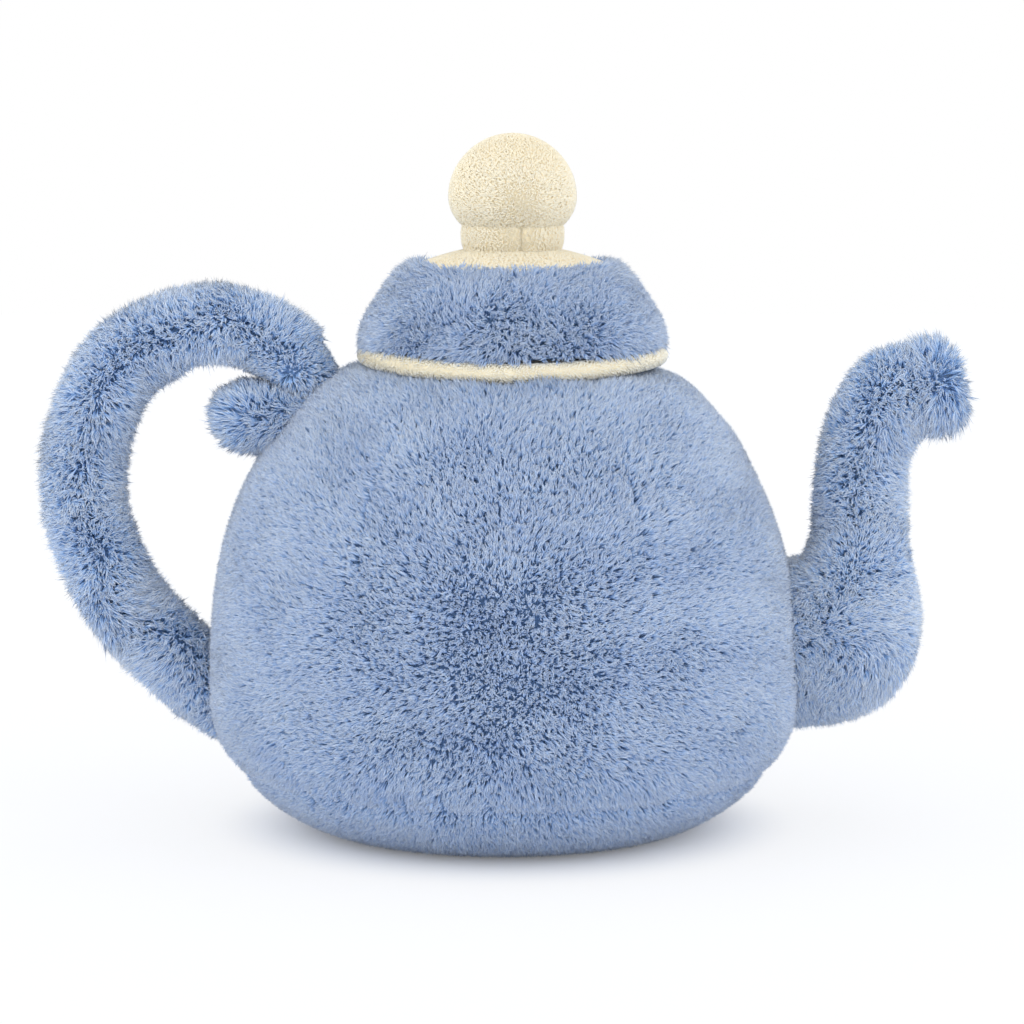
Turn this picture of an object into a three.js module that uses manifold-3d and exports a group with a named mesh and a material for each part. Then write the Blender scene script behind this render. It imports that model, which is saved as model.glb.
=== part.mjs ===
// Plush teapot: a stuffed blue pot with a piped lid, a ball knob, a scroll handle and an S-shaped spout.
// Millimetres, +Z up, +X towards the spout. The origin is the centre of the flat base.
// Outer surfaces lie at the tips of the pile, so a panel's thickness holds its cloth and its pile.
import * as THREE from 'three';
import { mergeVertices } from 'three/addons/utils/BufferGeometryUtils.js';
import Module from 'manifold-3d';

const wasm = await Module();
wasm.setup();

// Fits
const SEAM_GAP = 0.3; // between pieces that are sewn together or lie against each other

// Pot: a round bell of gores over a dished base panel
const BELLY_RADIUS = 92.2;
const BELLY_HEIGHT = 43;
const NECK_RADIUS = 46;
const NECK_HEIGHT = 141.6;
const NECK_SHIFT = 2.8; // the stuffed neck leans this far towards the spout
const LEAN_START_HEIGHT = 105;
const SHOULDER_RISE = 2.4; // curve exponents from the belly up to the neck
const SHOULDER_FULLNESS = 1.62;
const UNDERSIDE_RISE = 2; // curve exponents from the belly down to the foot
const UNDERSIDE_FULLNESS = 1.48;
const FOOT_RADIUS = 52.5;
const BASE_SEAM_HEIGHT = 23;
const GORE_COUNT = 6;
const POT_PLUSH = 6;
const BASE_PLUSH = 4.5;
const SEAM_DIP = 1.5; // how far a seam draws the plush in
const SEAM_DIP_WIDTH = 6;
const BEAN_BAG_RADIUS = 46;
const BEAN_BAG_HEIGHT = 15;

// Piping: a velour strip wrapped round a cord and caught in the neck seam
const PIPING_RADIUS = 3.1;
const PIPING_VELOUR = 1;
const PIPING_INSET = 0.8; // from the neck's edge to the middle of the roll
const PIPING_FLANGE = 4.5;
const FLANGE_HALF_HEIGHT = 1;
const FLANGE_SLIT = 0.4;
const CORD_RADIUS = 1.7;

// Lid
const LID_OVERHANG = 2.2; // hem radius beyond the neck
const LID_HEIGHT = 29;
const LID_TOP_RADIUS = 30;
const LID_RISE = 2;
const LID_FULLNESS = 1.4;
const LID_PLUSH = 8;
const DOME_SET = 1.6; // the dome's edge lies this far below the lid's rim
const DOME_RISE = 6;
const DOME_VELOUR = 3;

// Knob
const KNOB_NECK_RADIUS = 15.5;
const KNOB_NECK_HEIGHT = 6.4;
const KNOB_RADIUS = 19.9;
const KNOB_GATHER = 2.2; // how far the ball's mouth is drawn in towards the neck
const KNOB_VELOUR = 2.6;

// Handle: stations along the tube, each [out from the belly, height, heading in degrees, half width]
const HANDLE_STATIONS = [
  [-28, 27, 148, 14],
  [-1.2, 42.5, 141, 14.4],
  [15.5, 57.7, 132, 14],
  [29.4, 75, 121, 13.7],
  [38.8, 108.2, 90, 13.6],
  [27.6, 143.2, 47, 13.8],
  [0.4, 156, 0, 14],
  [-24.2, 148.5, -40, 13.8],
  [-37.2, 131, -62, 12.5],
];
const SCROLL_STATIONS = [
  [-43, 124.5, 170, 11],
  [-28, 127, 172, 12.8],
  [-13.2, 129.3, 178, 13.4],
];
const HANDLE_DEPTH_RATIO = 0.92; // front to back, against the width seen from the side
const HANDLE_PLUSH = 7;
const HANDLE_SEAM_WIDTH = 5;

// Spout: stations as for the handle
const SPOUT_STATIONS = [
  [-33, 56, 0, 26.5],
  [0, 57.3, 6, 27.3],
  [12.4, 60.9, 27, 27.6],
  [19.1, 69, 47, 25],
  [19.9, 86.5, 73, 18.2],
  [19, 103.5, 88, 15.6],
  [20, 116.7, 81, 15.1],
  [23.8, 127.6, 59, 15.6],
  [31.6, 136, 37, 16.2],
  [48, 138.4, 8, 13.4],
];
const SPOUT_TIP_BULGE = 5;
const SPOUT_DEPTH_RATIO = 0.84;
const SPOUT_PLUSH = 7;
const SPOUT_SEAM_WIDTH = 7;

// Facets
const GORE_COLUMNS = 6;
const UNDERSIDE_ROWS = 3;
const SHOULDER_ROWS = 9;
const BASE_ROWS = 5;
const BEAN_BAG_ROWS = 6;
const PIPING_STEPS = 7;
const THROAT_STEPS = 6;
const CORD_SIDES = 6;
const LID_ROWS = 7;
const KNOB_ROWS = 8;
const KNOB_COLUMNS = 8;
const KNOB_STUFFING_ROWS = 6;
const DOME_RING_SHARES = [0.25, 0.6, 1]; // of the dome's radius
const KNOB_CROWN = 0.94 * Math.PI / 2; // angle where the ball's velour closes at the top
const KNOB_STUFFING_CROWN = 0.9 * Math.PI / 2;
const POT_STUFFING_SIDES = 24; // corners under every gore's seams, middle and quarters
const BASE_SIDES = 48;
const ROUND_SIDES = 32;
const STUFFING_SIDES = 16;
const CUTTER_SIDES = 48;
const LIMB_SIDES = 12;
const CORE_SIDES = 8;
const HANDLE_RINGS = 22;
const SPOUT_RINGS = 21;
const SCROLL_RINGS = 4;
const END_RINGS = 4;
const CUTTER_REACH = 400;

const PLUSH_BLUE = { color: 0x8fa9d0, roughness: 1 };
const VELOUR_CREAM = { color: 0xeee2c7, roughness: 0.9 };
const STUFFING_WHITE = { color: 0xf4f4f1, roughness: 1 };
const COTTON = { color: 0xd9d2c2, roughness: 0.95 };

// Solids from points

function closedGeometry(points, triangles) {
  const volume = triangles.reduce((sum, [a, b, c]) => {
    const cross = new THREE.Vector3().crossVectors(points[b], points[c]);
    return sum + points[a].dot(cross);
  }, 0);
  const faces = volume < 0 ? triangles.map(([a, b, c]) => [a, c, b]) : triangles;
  const geometry = new THREE.BufferGeometry().setFromPoints(points);
  geometry.setIndex(faces.flat());
  geometry.computeVertexNormals();
  return geometry;
}

// Skins a list of closed rings, with a flat cap on the first and the last.
function loftRings(rings) {
  const sides = rings[0].length;
  const points = rings.flat();
  const triangles = [];
  for (let i = 0; i + 1 < rings.length; i++) {
    for (let j = 0; j < sides; j++) {
      const a = i * sides + j;
      const b = i * sides + (j + 1) % sides;
      triangles.push([a, b, b + sides], [a, b + sides, a + sides]);
    }
  }
  const capCentre = (ring) => ring.reduce((sum, p) => sum.add(p), new THREE.Vector3()).divideScalar(sides);
  const first = points.push(capCentre(rings[0])) - 1;
  const last = points.push(capCentre(rings.at(-1))) - 1;
  const top = (rings.length - 1) * sides;
  for (let j = 0; j < sides; j++) {
    const k = (j + 1) % sides;
    triangles.push([first, k, j], [last, top + j, top + k]);
  }
  return closedGeometry(points, triangles);
}

// Closes two grids of points into a thick sheet; a wrapped sheet runs all the way round.
function thickSheet(outer, inner, wrapped) {
  const rows = outer.length;
  const columns = outer[0].length;
  const offset = rows * columns;
  const points = [...outer.flat(), ...inner.flat()];
  const triangles = [];
  const quad = (a, b, c, d) => triangles.push([a, b, c], [a, c, d]);
  const steps = wrapped ? columns : columns - 1;
  for (let i = 0; i + 1 < rows; i++) {
    for (let j = 0; j < steps; j++) {
      const a = i * columns + j;
      const b = i * columns + (j + 1) % columns;
      quad(a, b, b + columns, a + columns);
      quad(offset + b, offset + a, offset + a + columns, offset + b + columns);
    }
  }
  for (let j = 0; j < steps; j++) {
    const k = (j + 1) % columns;
    const top = (rows - 1) * columns;
    quad(k, j, offset + j, offset + k);
    quad(top + j, top + k, offset + top + k, offset + top + j);
  }
  if (!wrapped) {
    for (let i = 0; i + 1 < rows; i++) {
      const left = i * columns;
      const right = left + columns - 1;
      quad(left, left + columns, offset + left + columns, offset + left);
      quad(right + columns, right, offset + right, offset + right + columns);
    }
  }
  return closedGeometry(points, triangles);
}

function ringAt(radius, height, sides, centreX = 0) {
  return Array.from({ length: sides }, (_, j) => {
    const angle = 2 * Math.PI * j / sides;
    return new THREE.Vector3(centreX + radius * Math.cos(angle), radius * Math.sin(angle), height);
  });
}

function revolve(profile, sides) {
  return loftRings(profile.map((p) => ringAt(p.x, p.y, sides)));
}

// Joins and cuts

function toManifold(geometry) {
  return new wasm.Manifold(new wasm.Mesh({
    numProp: 3,
    vertProperties: geometry.attributes.position.array,
    triVerts: new Uint32Array(geometry.index.array),
  }));
}

function toGeometry(manifold) {
  const mesh = manifold.getMesh();
  const geometry = new THREE.BufferGeometry();
  geometry.setAttribute('position', new THREE.BufferAttribute(mesh.vertProperties, 3));
  geometry.setIndex(new THREE.BufferAttribute(mesh.triVerts, 1));
  geometry.computeVertexNormals();
  return geometry;
}

function block(low, high) {
  const size = new THREE.Vector3().subVectors(high, low);
  const middle = new THREE.Vector3().addVectors(low, high).multiplyScalar(0.5);
  const geometry = new THREE.BoxGeometry(size.x, size.y, size.z).translate(middle.x, middle.y, middle.z);
  geometry.deleteAttribute('normal');
  geometry.deleteAttribute('uv');
  return toManifold(mergeVertices(geometry));
}

const far = CUTTER_REACH;
const inFront = block(new THREE.Vector3(-far, -far, -far), new THREE.Vector3(far, -SEAM_GAP / 2, far));
const behind = block(new THREE.Vector3(-far, SEAM_GAP / 2, -far), new THREE.Vector3(far, far, far));
// Half way between the two places where the handle is sewn on
const betweenSeams = (HANDLE_STATIONS[0][1] + SCROLL_STATIONS[0][1]) / 2;
const aboveSplit = block(new THREE.Vector3(-far, -far, betweenSeams), new THREE.Vector3(far, far, far));
const belowSplit = block(new THREE.Vector3(-far, -far, -far), new THREE.Vector3(far, far, betweenSeams));

// Profiles, as (radius, height) points from the bottom up

// A quarter of a superellipse, from an upright wall at angle 0 to a level one at a right angle.
function quarterArc(upright, level, rise, fullness, angle) {
  return new THREE.Vector2(
    level.x + (upright.x - level.x) * Math.cos(angle) ** (2 / fullness),
    upright.y + (level.y - upright.y) * Math.sin(angle) ** (2 / rise),
  );
}

function samples(curve, from, to, steps) {
  return Array.from({ length: steps + 1 }, (_, i) => curve(from + (to - from) * i / steps));
}

function offsetProfile(profile, distance) {
  return profile.map((point, i) => {
    const before = profile[Math.max(i - 1, 0)];
    const after = profile[Math.min(i + 1, profile.length - 1)];
    const along = new THREE.Vector2().subVectors(after, before).normalize();
    return new THREE.Vector2(point.x + along.y * distance, point.y - along.x * distance);
  });
}

const belly = new THREE.Vector2(BELLY_RADIUS, BELLY_HEIGHT);
const neckEdge = new THREE.Vector2(NECK_RADIUS, NECK_HEIGHT);
const footEdge = new THREE.Vector2(FOOT_RADIUS, 0);
const shoulder = (angle) => quarterArc(belly, neckEdge, SHOULDER_RISE, SHOULDER_FULLNESS, angle);
const underside = (angle) => quarterArc(belly, footEdge, UNDERSIDE_RISE, UNDERSIDE_FULLNESS, angle);
const seamDrop = (BELLY_HEIGHT - BASE_SEAM_HEIGHT) / BELLY_HEIGHT;
const seamAngle = Math.asin(seamDrop ** (UNDERSIDE_RISE / 2));
const goreProfile = [
  ...samples(underside, seamAngle, 0, UNDERSIDE_ROWS),
  ...samples(shoulder, 0, Math.PI / 2, SHOULDER_ROWS).slice(1),
];
const baseProfile = samples(underside, Math.PI / 2, seamAngle, BASE_ROWS);
const potProfile = [...baseProfile, ...goreProfile.slice(1)];

const leanAt = (height) => NECK_SHIFT * THREE.MathUtils.smoothstep(height, LEAN_START_HEIGHT, NECK_HEIGHT);
const potRing = (point, sides) => ringAt(point.x, point.y, sides, leanAt(point.y));

// Pot pieces

function goreGrid(profile, startAngle, dips) {
  const span = 2 * Math.PI / GORE_COUNT;
  return profile.map((point, row) => Array.from({ length: GORE_COLUMNS + 1 }, (_, j) => {
    const share = (1 - Math.cos(Math.PI * j / GORE_COLUMNS)) / 2; // columns crowd towards the seams
    const edge = Math.asin(SEAM_GAP / 2 / point.x);
    const angle = startAngle + edge + (span - 2 * edge) * share;
    const fromSeam = Math.min(share, 1 - share) * span * point.x;
    const atHem = row === 0 ? 1 : 0;
    const dip = dips ? SEAM_DIP * Math.max(atHem, Math.exp(-((fromSeam / SEAM_DIP_WIDTH) ** 2))) : 0;
    const radius = point.x - dip;
    return new THREE.Vector3(leanAt(point.y) + radius * Math.cos(angle), radius * Math.sin(angle), point.y);
  }));
}

// The hem of the gores stands a seam gap above the base panel's edge.
const goreOuter = goreProfile.map((p, i) => (i === 0 ? new THREE.Vector2(p.x, p.y + SEAM_GAP) : p));
const goreInner = offsetProfile(goreProfile, -POT_PLUSH);
goreInner[0].set(goreInner[0].x, goreOuter[0].y);

function gore(index) {
  const start = index * 2 * Math.PI / GORE_COUNT;
  return thickSheet(goreGrid(goreOuter, start, true), goreGrid(goreInner, start, false), false);
}

function basePanel() {
  const rim = baseProfile.at(-1);
  const outer = baseProfile.slice(0, -1);
  const inner = offsetProfile(baseProfile, -BASE_PLUSH).slice(0, -1);
  return revolve([
    ...inner,
    new THREE.Vector2(goreInner[0].x, rim.y),
    new THREE.Vector2(rim.x - SEAM_DIP, rim.y),
    ...outer.reverse(),
  ], BASE_SIDES);
}

function beanBag(clearance) {
  const floor = BASE_PLUSH + SEAM_GAP;
  const half = BEAN_BAG_HEIGHT / 2;
  const outline = (angle) => new THREE.Vector2(
    BEAN_BAG_RADIUS - half + (half + clearance) * Math.cos(angle),
    floor + half + (half + clearance) * Math.sin(angle),
  );
  return revolve(samples(outline, -Math.PI / 2, Math.PI / 2, BEAN_BAG_ROWS), STUFFING_SIDES);
}

function potStuffing() {
  const inside = offsetProfile(goreProfile, -POT_PLUSH - SEAM_GAP).filter((_, row) => row % 2);
  const dish = offsetProfile(baseProfile, -BASE_PLUSH - SEAM_GAP).filter((_, row) => row % 2 === 0);
  const stuffing = loftRings([...dish, ...inside].map((p) => potRing(p, POT_STUFFING_SIDES)));
  return toGeometry(toManifold(stuffing).subtract(toManifold(beanBag(SEAM_GAP))));
}

// Piping, lid and knob, round the leaning neck's own axis

const pipingRing = NECK_RADIUS - PIPING_INSET;
const pipingHeight = NECK_HEIGHT + SEAM_GAP + PIPING_RADIUS;
const hemHeight = pipingHeight + PIPING_RADIUS + SEAM_GAP;
const rimHeight = hemHeight + LID_HEIGHT;
const domeRadius = LID_TOP_RADIUS - SEAM_GAP;
const domeEdgeHeight = rimHeight - DOME_SET;
const domeHeightAt = (radius) => domeEdgeHeight + DOME_RISE * (1 - (radius / domeRadius) ** 2);
const knobNeckFoot = domeHeightAt(KNOB_NECK_RADIUS) + SEAM_GAP;
const knobMouthHeight = knobNeckFoot + KNOB_NECK_HEIGHT + SEAM_GAP;

function ringSolid(section, sides) {
  const profile = section.map((p) => ringAt(p.x, p.y, sides));
  const points = profile.flat();
  const triangles = [];
  for (let i = 0; i < section.length; i++) {
    const next = (i + 1) % section.length;
    for (let j = 0; j < sides; j++) {
      const k = (j + 1) % sides;
      const [a, b, c, d] = [i * sides + j, i * sides + k, next * sides + k, next * sides + j];
      triangles.push([a, b, c], [a, c, d]);
    }
  }
  return closedGeometry(points, triangles);
}

const pipingPoint = (radius, angle) => new THREE.Vector2(
  pipingRing + radius * Math.cos(angle),
  pipingHeight + radius * Math.sin(angle),
);

function pipingCover() {
  const throat = PIPING_RADIUS - PIPING_VELOUR;
  const outerEnd = Math.PI - Math.asin(FLANGE_HALF_HEIGHT / PIPING_RADIUS);
  const innerEnd = Math.PI - Math.asin(FLANGE_SLIT / 2 / throat);
  const flangeEnd = pipingRing - PIPING_RADIUS - PIPING_FLANGE;
  return ringSolid([
    new THREE.Vector2(flangeEnd, pipingHeight + FLANGE_HALF_HEIGHT),
    ...samples((angle) => pipingPoint(PIPING_RADIUS, angle), outerEnd, -outerEnd, PIPING_STEPS),
    new THREE.Vector2(flangeEnd, pipingHeight - FLANGE_HALF_HEIGHT),
    new THREE.Vector2(flangeEnd, pipingHeight - FLANGE_SLIT / 2),
    ...samples((angle) => pipingPoint(throat, angle), -innerEnd, innerEnd, THROAT_STEPS),
    new THREE.Vector2(flangeEnd, pipingHeight + FLANGE_SLIT / 2),
  ], ROUND_SIDES);
}

function pipingCord() {
  const section = samples((angle) => pipingPoint(CORD_RADIUS, angle), 0, 2 * Math.PI, CORD_SIDES).slice(1);
  return ringSolid(section, ROUND_SIDES);
}

const hemEdge = new THREE.Vector2(NECK_RADIUS + LID_OVERHANG, hemHeight);
const rimEdge = new THREE.Vector2(LID_TOP_RADIUS, rimHeight);
const lidSide = (angle) => quarterArc(hemEdge, rimEdge, LID_RISE, LID_FULLNESS, angle);
const lidProfile = samples(lidSide, 0, Math.PI / 2, LID_ROWS);
const lidInner = offsetProfile(lidProfile, -LID_PLUSH).map((p) => {
  return new THREE.Vector2(Math.max(p.x, LID_TOP_RADIUS), Math.max(p.y, hemHeight));
});

function lidWall() {
  const grid = (profile) => profile.map((p) => ringAt(p.x, p.y, ROUND_SIDES));
  return thickSheet(grid(lidProfile), grid(lidInner), true);
}

function lidTop() {
  const radii = DOME_RING_SHARES.map((share) => share * domeRadius);
  const outer = radii.map((r) => new THREE.Vector2(r, domeHeightAt(r)));
  const inner = radii.map((r) => new THREE.Vector2(r, domeHeightAt(r) - DOME_VELOUR));
  return revolve([...inner, ...outer.reverse()], ROUND_SIDES);
}

function lidStuffing() {
  const foot = offsetProfile(goreProfile, -POT_PLUSH).at(-1).y + SEAM_GAP;
  const waist = pipingRing - PIPING_RADIUS - PIPING_FLANGE - SEAM_GAP;
  const wall = lidInner.filter((p) => p.x > LID_TOP_RADIUS).map((p) => new THREE.Vector2(p.x - SEAM_GAP, p.y));
  const crown = DOME_RING_SHARES.toReversed().map((share) => {
    const radius = share * (domeRadius - SEAM_GAP);
    return new THREE.Vector2(radius, domeHeightAt(radius) - DOME_VELOUR - 2 * SEAM_GAP);
  });
  const column = [
    new THREE.Vector2(waist, foot),
    new THREE.Vector2(Math.min(waist, wall[0].x), hemHeight),
  ];
  return revolve([...column, ...wall.slice(1), ...crown], STUFFING_SIDES);
}

function knobNeck() {
  const bore = KNOB_NECK_RADIUS - KNOB_VELOUR;
  const crown = knobNeckFoot + KNOB_NECK_HEIGHT;
  return ringSolid([
    new THREE.Vector2(KNOB_NECK_RADIUS, knobNeckFoot),
    new THREE.Vector2(KNOB_NECK_RADIUS, crown),
    new THREE.Vector2(bore, crown),
    new THREE.Vector2(bore, domeHeightAt(bore) + SEAM_GAP),
  ], STUFFING_SIDES);
}

// The ball is drawn in at its mouth, where it meets the neck.
const knobMouthAngle = -Math.acos(Math.min((KNOB_NECK_RADIUS + KNOB_GATHER) / KNOB_RADIUS, 1));
const knobCentre = knobMouthHeight - KNOB_RADIUS * Math.sin(knobMouthAngle);

function knobProfile(radius, lastAngle, steps) {
  return samples((angle) => {
    const drawnIn = KNOB_GATHER * (Math.min(angle, 0) / knobMouthAngle) ** 2;
    return new THREE.Vector2(radius * Math.cos(angle) - drawnIn, knobCentre + radius * Math.sin(angle));
  }, knobMouthAngle, lastAngle, steps);
}

// Half of the ball's velour; the two meet in a seam that runs over the top.
function knobHalf(side) {
  const grid = (profile) => profile.map((p) => Array.from({ length: KNOB_COLUMNS + 1 }, (_, j) => {
    const angle = -Math.PI / 2 + Math.PI * j / KNOB_COLUMNS;
    const x = Math.max(p.x * Math.cos(angle), 0) + SEAM_GAP / 2;
    return new THREE.Vector3(side * x, p.x * Math.sin(angle), p.y);
  }));
  const outer = knobProfile(KNOB_RADIUS, KNOB_CROWN, KNOB_ROWS);
  const inner = knobProfile(KNOB_RADIUS - KNOB_VELOUR, KNOB_CROWN, KNOB_ROWS);
  inner[0].y = outer[0].y;
  return thickSheet(grid(outer), grid(inner), false);
}

function knobStuffing() {
  const radius = KNOB_RADIUS - KNOB_VELOUR - SEAM_GAP;
  return revolve(knobProfile(radius, KNOB_STUFFING_CROWN, KNOB_STUFFING_ROWS), STUFFING_SIDES);
}

// Limbs: tubes in the middle plane, cut where they are sewn to the pot

// A tube through stations, with an oval section that trim shrinks all round and an end domed by tipBulge.
function tube(stations, sideSign, depthRatio, trim, sides, rings, tipBulge) {
  const place = (out, height) => new THREE.Vector2(sideSign * (BELLY_RADIUS + out), height);
  const path = new THREE.SplineCurve(stations.map(([out, height]) => place(out, height)));
  const form = new THREE.SplineCurve(stations.map(([, , heading, half]) => new THREE.Vector2(heading, half)));
  const section = (t, advance, share) => {
    const centre = path.getPoint(t);
    const { x: heading, y: half } = form.getPoint(t);
    const turn = THREE.MathUtils.degToRad(heading);
    const width = (half - trim) * share;
    const depth = (half * depthRatio - trim) * share;
    return Array.from({ length: sides }, (_, j) => {
      const angle = 2 * Math.PI * (j + 0.5) / sides;
      const across = width * Math.cos(angle);
      return new THREE.Vector3(
        centre.x + advance * Math.cos(turn) - across * Math.sin(turn),
        depth * Math.sin(angle),
        centre.y + advance * Math.sin(turn) + across * Math.cos(turn),
      );
    });
  };
  const body = Array.from({ length: rings + 1 }, (_, i) => section(i / rings, 0, 1));
  const tip = Array.from({ length: END_RINGS }, (_, i) => {
    const angle = Math.PI / 2 * (i + 1) / (END_RINGS + 0.5); // the last ring keeps room for its cap
    return section(1, tipBulge * Math.sin(angle), Math.cos(angle));
  });
  return toManifold(loftRings([...body, ...(tipBulge ? tip : [])]));
}

// The stuffed pot and lid, grown by a distance: what a limb is cut back from.
function potGrownBy(distance) {
  const pot = loftRings(offsetProfile(potProfile, distance).map((p) => potRing(p, CUTTER_SIDES)));
  const collar = Math.max(pipingRing + PIPING_RADIUS, hemEdge.x) + distance;
  const lid = loftRings([
    ringAt(collar, pipingHeight - PIPING_RADIUS, CUTTER_SIDES, NECK_SHIFT),
    ...offsetProfile(lidProfile, distance).map((p) => ringAt(p.x, p.y, CUTTER_SIDES, NECK_SHIFT)),
  ]);
  return toManifold(pot).add(toManifold(lid));
}

const potCut = potGrownBy(SEAM_GAP);

// Front and back plush, stuffing, and the ring of turned-in plush that is sewn to the pot.
function limbPieces(outer, core, roomyCore, seamWidth) {
  const seamLine = potGrownBy(seamWidth);
  const clearOfSeam = potGrownBy(seamWidth + SEAM_GAP);
  const skin = outer.subtract(roomyCore);
  const freeSkin = skin.subtract(clearOfSeam);
  return {
    front: freeSkin.intersect(inFront),
    back: freeSkin.intersect(behind),
    stuffing: core.subtract(clearOfSeam),
    seam: skin.intersect(seamLine).subtract(potCut),
  };
}

function handlePieces() {
  const arch = (trim, sides) => tube(HANDLE_STATIONS, -1, HANDLE_DEPTH_RATIO, trim, sides, HANDLE_RINGS, 0);
  const scrollHalf = SCROLL_STATIONS.at(-1)[3];
  const scroll = () => (
    tube(SCROLL_STATIONS, -1, HANDLE_DEPTH_RATIO, 0, LIMB_SIDES, SCROLL_RINGS, scrollHalf)
  );
  // The stuffing turns from the arch down into the scroll without reaching the pot.
  const [archOut, archHeight] = HANDLE_STATIONS.at(-2);
  const [scrollOut, scrollHeight] = SCROLL_STATIONS.at(-1);
  const heading = THREE.MathUtils.radToDeg(Math.atan2(scrollHeight - archHeight, archOut - scrollOut));
  const linkHalf = HANDLE_STATIONS.at(-2)[3];
  const linkStations = [
    [archOut, archHeight, heading, linkHalf],
    [scrollOut, scrollHeight, heading, linkHalf],
  ];
  const link = (trim) => tube(linkStations, -1, HANDLE_DEPTH_RATIO, trim, CORE_SIDES, 2, linkHalf - trim);
  const coreTrimmed = (trim) => arch(trim, CORE_SIDES).add(link(trim));
  const outer = arch(0, LIMB_SIDES).add(scroll());
  const core = coreTrimmed(HANDLE_PLUSH + SEAM_GAP);
  return limbPieces(outer, core, coreTrimmed(HANDLE_PLUSH), HANDLE_SEAM_WIDTH);
}

function spoutPieces() {
  const spout = (trim, sides, tipBulge) => (
    tube(SPOUT_STATIONS, 1, SPOUT_DEPTH_RATIO, trim, sides, SPOUT_RINGS, tipBulge)
  );
  const outer = spout(0, LIMB_SIDES, SPOUT_TIP_BULGE);
  const core = spout(SPOUT_PLUSH + SEAM_GAP, CORE_SIDES, 0);
  const roomyCore = spout(SPOUT_PLUSH, CORE_SIDES, SEAM_GAP);
  return limbPieces(outer, core, roomyCore, SPOUT_SEAM_WIDTH);
}

// Assembly

function piece(name, geometry, finish) {
  const material = new THREE.MeshStandardMaterial({ ...finish, metalness: 0 });
  const mesh = new THREE.Mesh(geometry, material);
  mesh.name = name;
  return mesh;
}

// Gores in order from the spout side round the back.
const GORE_NAMES = [
  'body_gore_back_spout_side',
  'body_gore_back',
  'body_gore_back_handle_side',
  'body_gore_front_handle_side',
  'body_gore_front',
  'body_gore_front_spout_side',
];

const teapot = new THREE.Group();
for (let i = 0; i < GORE_COUNT; i++) {
  teapot.add(piece(GORE_NAMES[i] ?? `body_gore_${i + 1}`, gore(i), PLUSH_BLUE));
}
teapot.add(piece('base_panel', basePanel(), PLUSH_BLUE));
teapot.add(piece('base_bean_bag', beanBag(0), COTTON));
teapot.add(piece('body_stuffing', potStuffing(), STUFFING_WHITE));

const neckGroup = new THREE.Group();
neckGroup.position.x = NECK_SHIFT;
neckGroup.add(piece('neck_piping', pipingCover(), VELOUR_CREAM));
neckGroup.add(piece('neck_piping_cord', pipingCord(), COTTON));
neckGroup.add(piece('lid_wall', lidWall(), PLUSH_BLUE));
neckGroup.add(piece('lid_top', lidTop(), VELOUR_CREAM));
neckGroup.add(piece('lid_stuffing', lidStuffing(), STUFFING_WHITE));
neckGroup.add(piece('knob_neck', knobNeck(), VELOUR_CREAM));
neckGroup.add(piece('knob_handle_side', knobHalf(-1), VELOUR_CREAM));
neckGroup.add(piece('knob_spout_side', knobHalf(1), VELOUR_CREAM));
neckGroup.add(piece('knob_stuffing', knobStuffing(), STUFFING_WHITE));
teapot.add(neckGroup);

const handle = handlePieces();
teapot.add(piece('handle_front', toGeometry(handle.front), PLUSH_BLUE));
teapot.add(piece('handle_back', toGeometry(handle.back), PLUSH_BLUE));
teapot.add(piece('handle_stuffing', toGeometry(handle.stuffing), STUFFING_WHITE));
teapot.add(piece('handle_upper_seam', toGeometry(handle.seam.intersect(aboveSplit)), PLUSH_BLUE));
teapot.add(piece('handle_lower_seam', toGeometry(handle.seam.intersect(belowSplit)), PLUSH_BLUE));

const spout = spoutPieces();
teapot.add(piece('spout_front', toGeometry(spout.front), PLUSH_BLUE));
teapot.add(piece('spout_back', toGeometry(spout.back), PLUSH_BLUE));
teapot.add(piece('spout_stuffing', toGeometry(spout.stuffing), STUFFING_WHITE));
teapot.add(piece('spout_seam', toGeometry(spout.seam), PLUSH_BLUE));

export default teapot;
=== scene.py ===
"""Looks of a plush teapot: blue pile over sewn panels, cream velour, stuffing, and a white studio."""
import math
from collections import namedtuple

import bpy
import numpy as np
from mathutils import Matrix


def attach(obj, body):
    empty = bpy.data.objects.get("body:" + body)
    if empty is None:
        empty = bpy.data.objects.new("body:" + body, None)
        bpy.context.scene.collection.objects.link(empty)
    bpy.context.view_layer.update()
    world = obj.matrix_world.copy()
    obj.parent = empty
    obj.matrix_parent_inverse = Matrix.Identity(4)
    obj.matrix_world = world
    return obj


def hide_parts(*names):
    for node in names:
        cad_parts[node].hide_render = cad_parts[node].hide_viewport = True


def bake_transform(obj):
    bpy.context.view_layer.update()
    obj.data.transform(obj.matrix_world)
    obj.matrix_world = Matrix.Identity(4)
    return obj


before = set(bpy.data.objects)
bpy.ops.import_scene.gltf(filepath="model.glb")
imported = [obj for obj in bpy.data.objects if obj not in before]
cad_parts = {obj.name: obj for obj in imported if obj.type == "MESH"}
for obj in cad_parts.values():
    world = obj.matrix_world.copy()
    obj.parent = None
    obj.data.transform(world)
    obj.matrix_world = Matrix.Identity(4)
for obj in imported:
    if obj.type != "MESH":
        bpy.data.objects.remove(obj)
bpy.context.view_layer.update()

# A millimetre in the frame's metres
MM = 0.001

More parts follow.
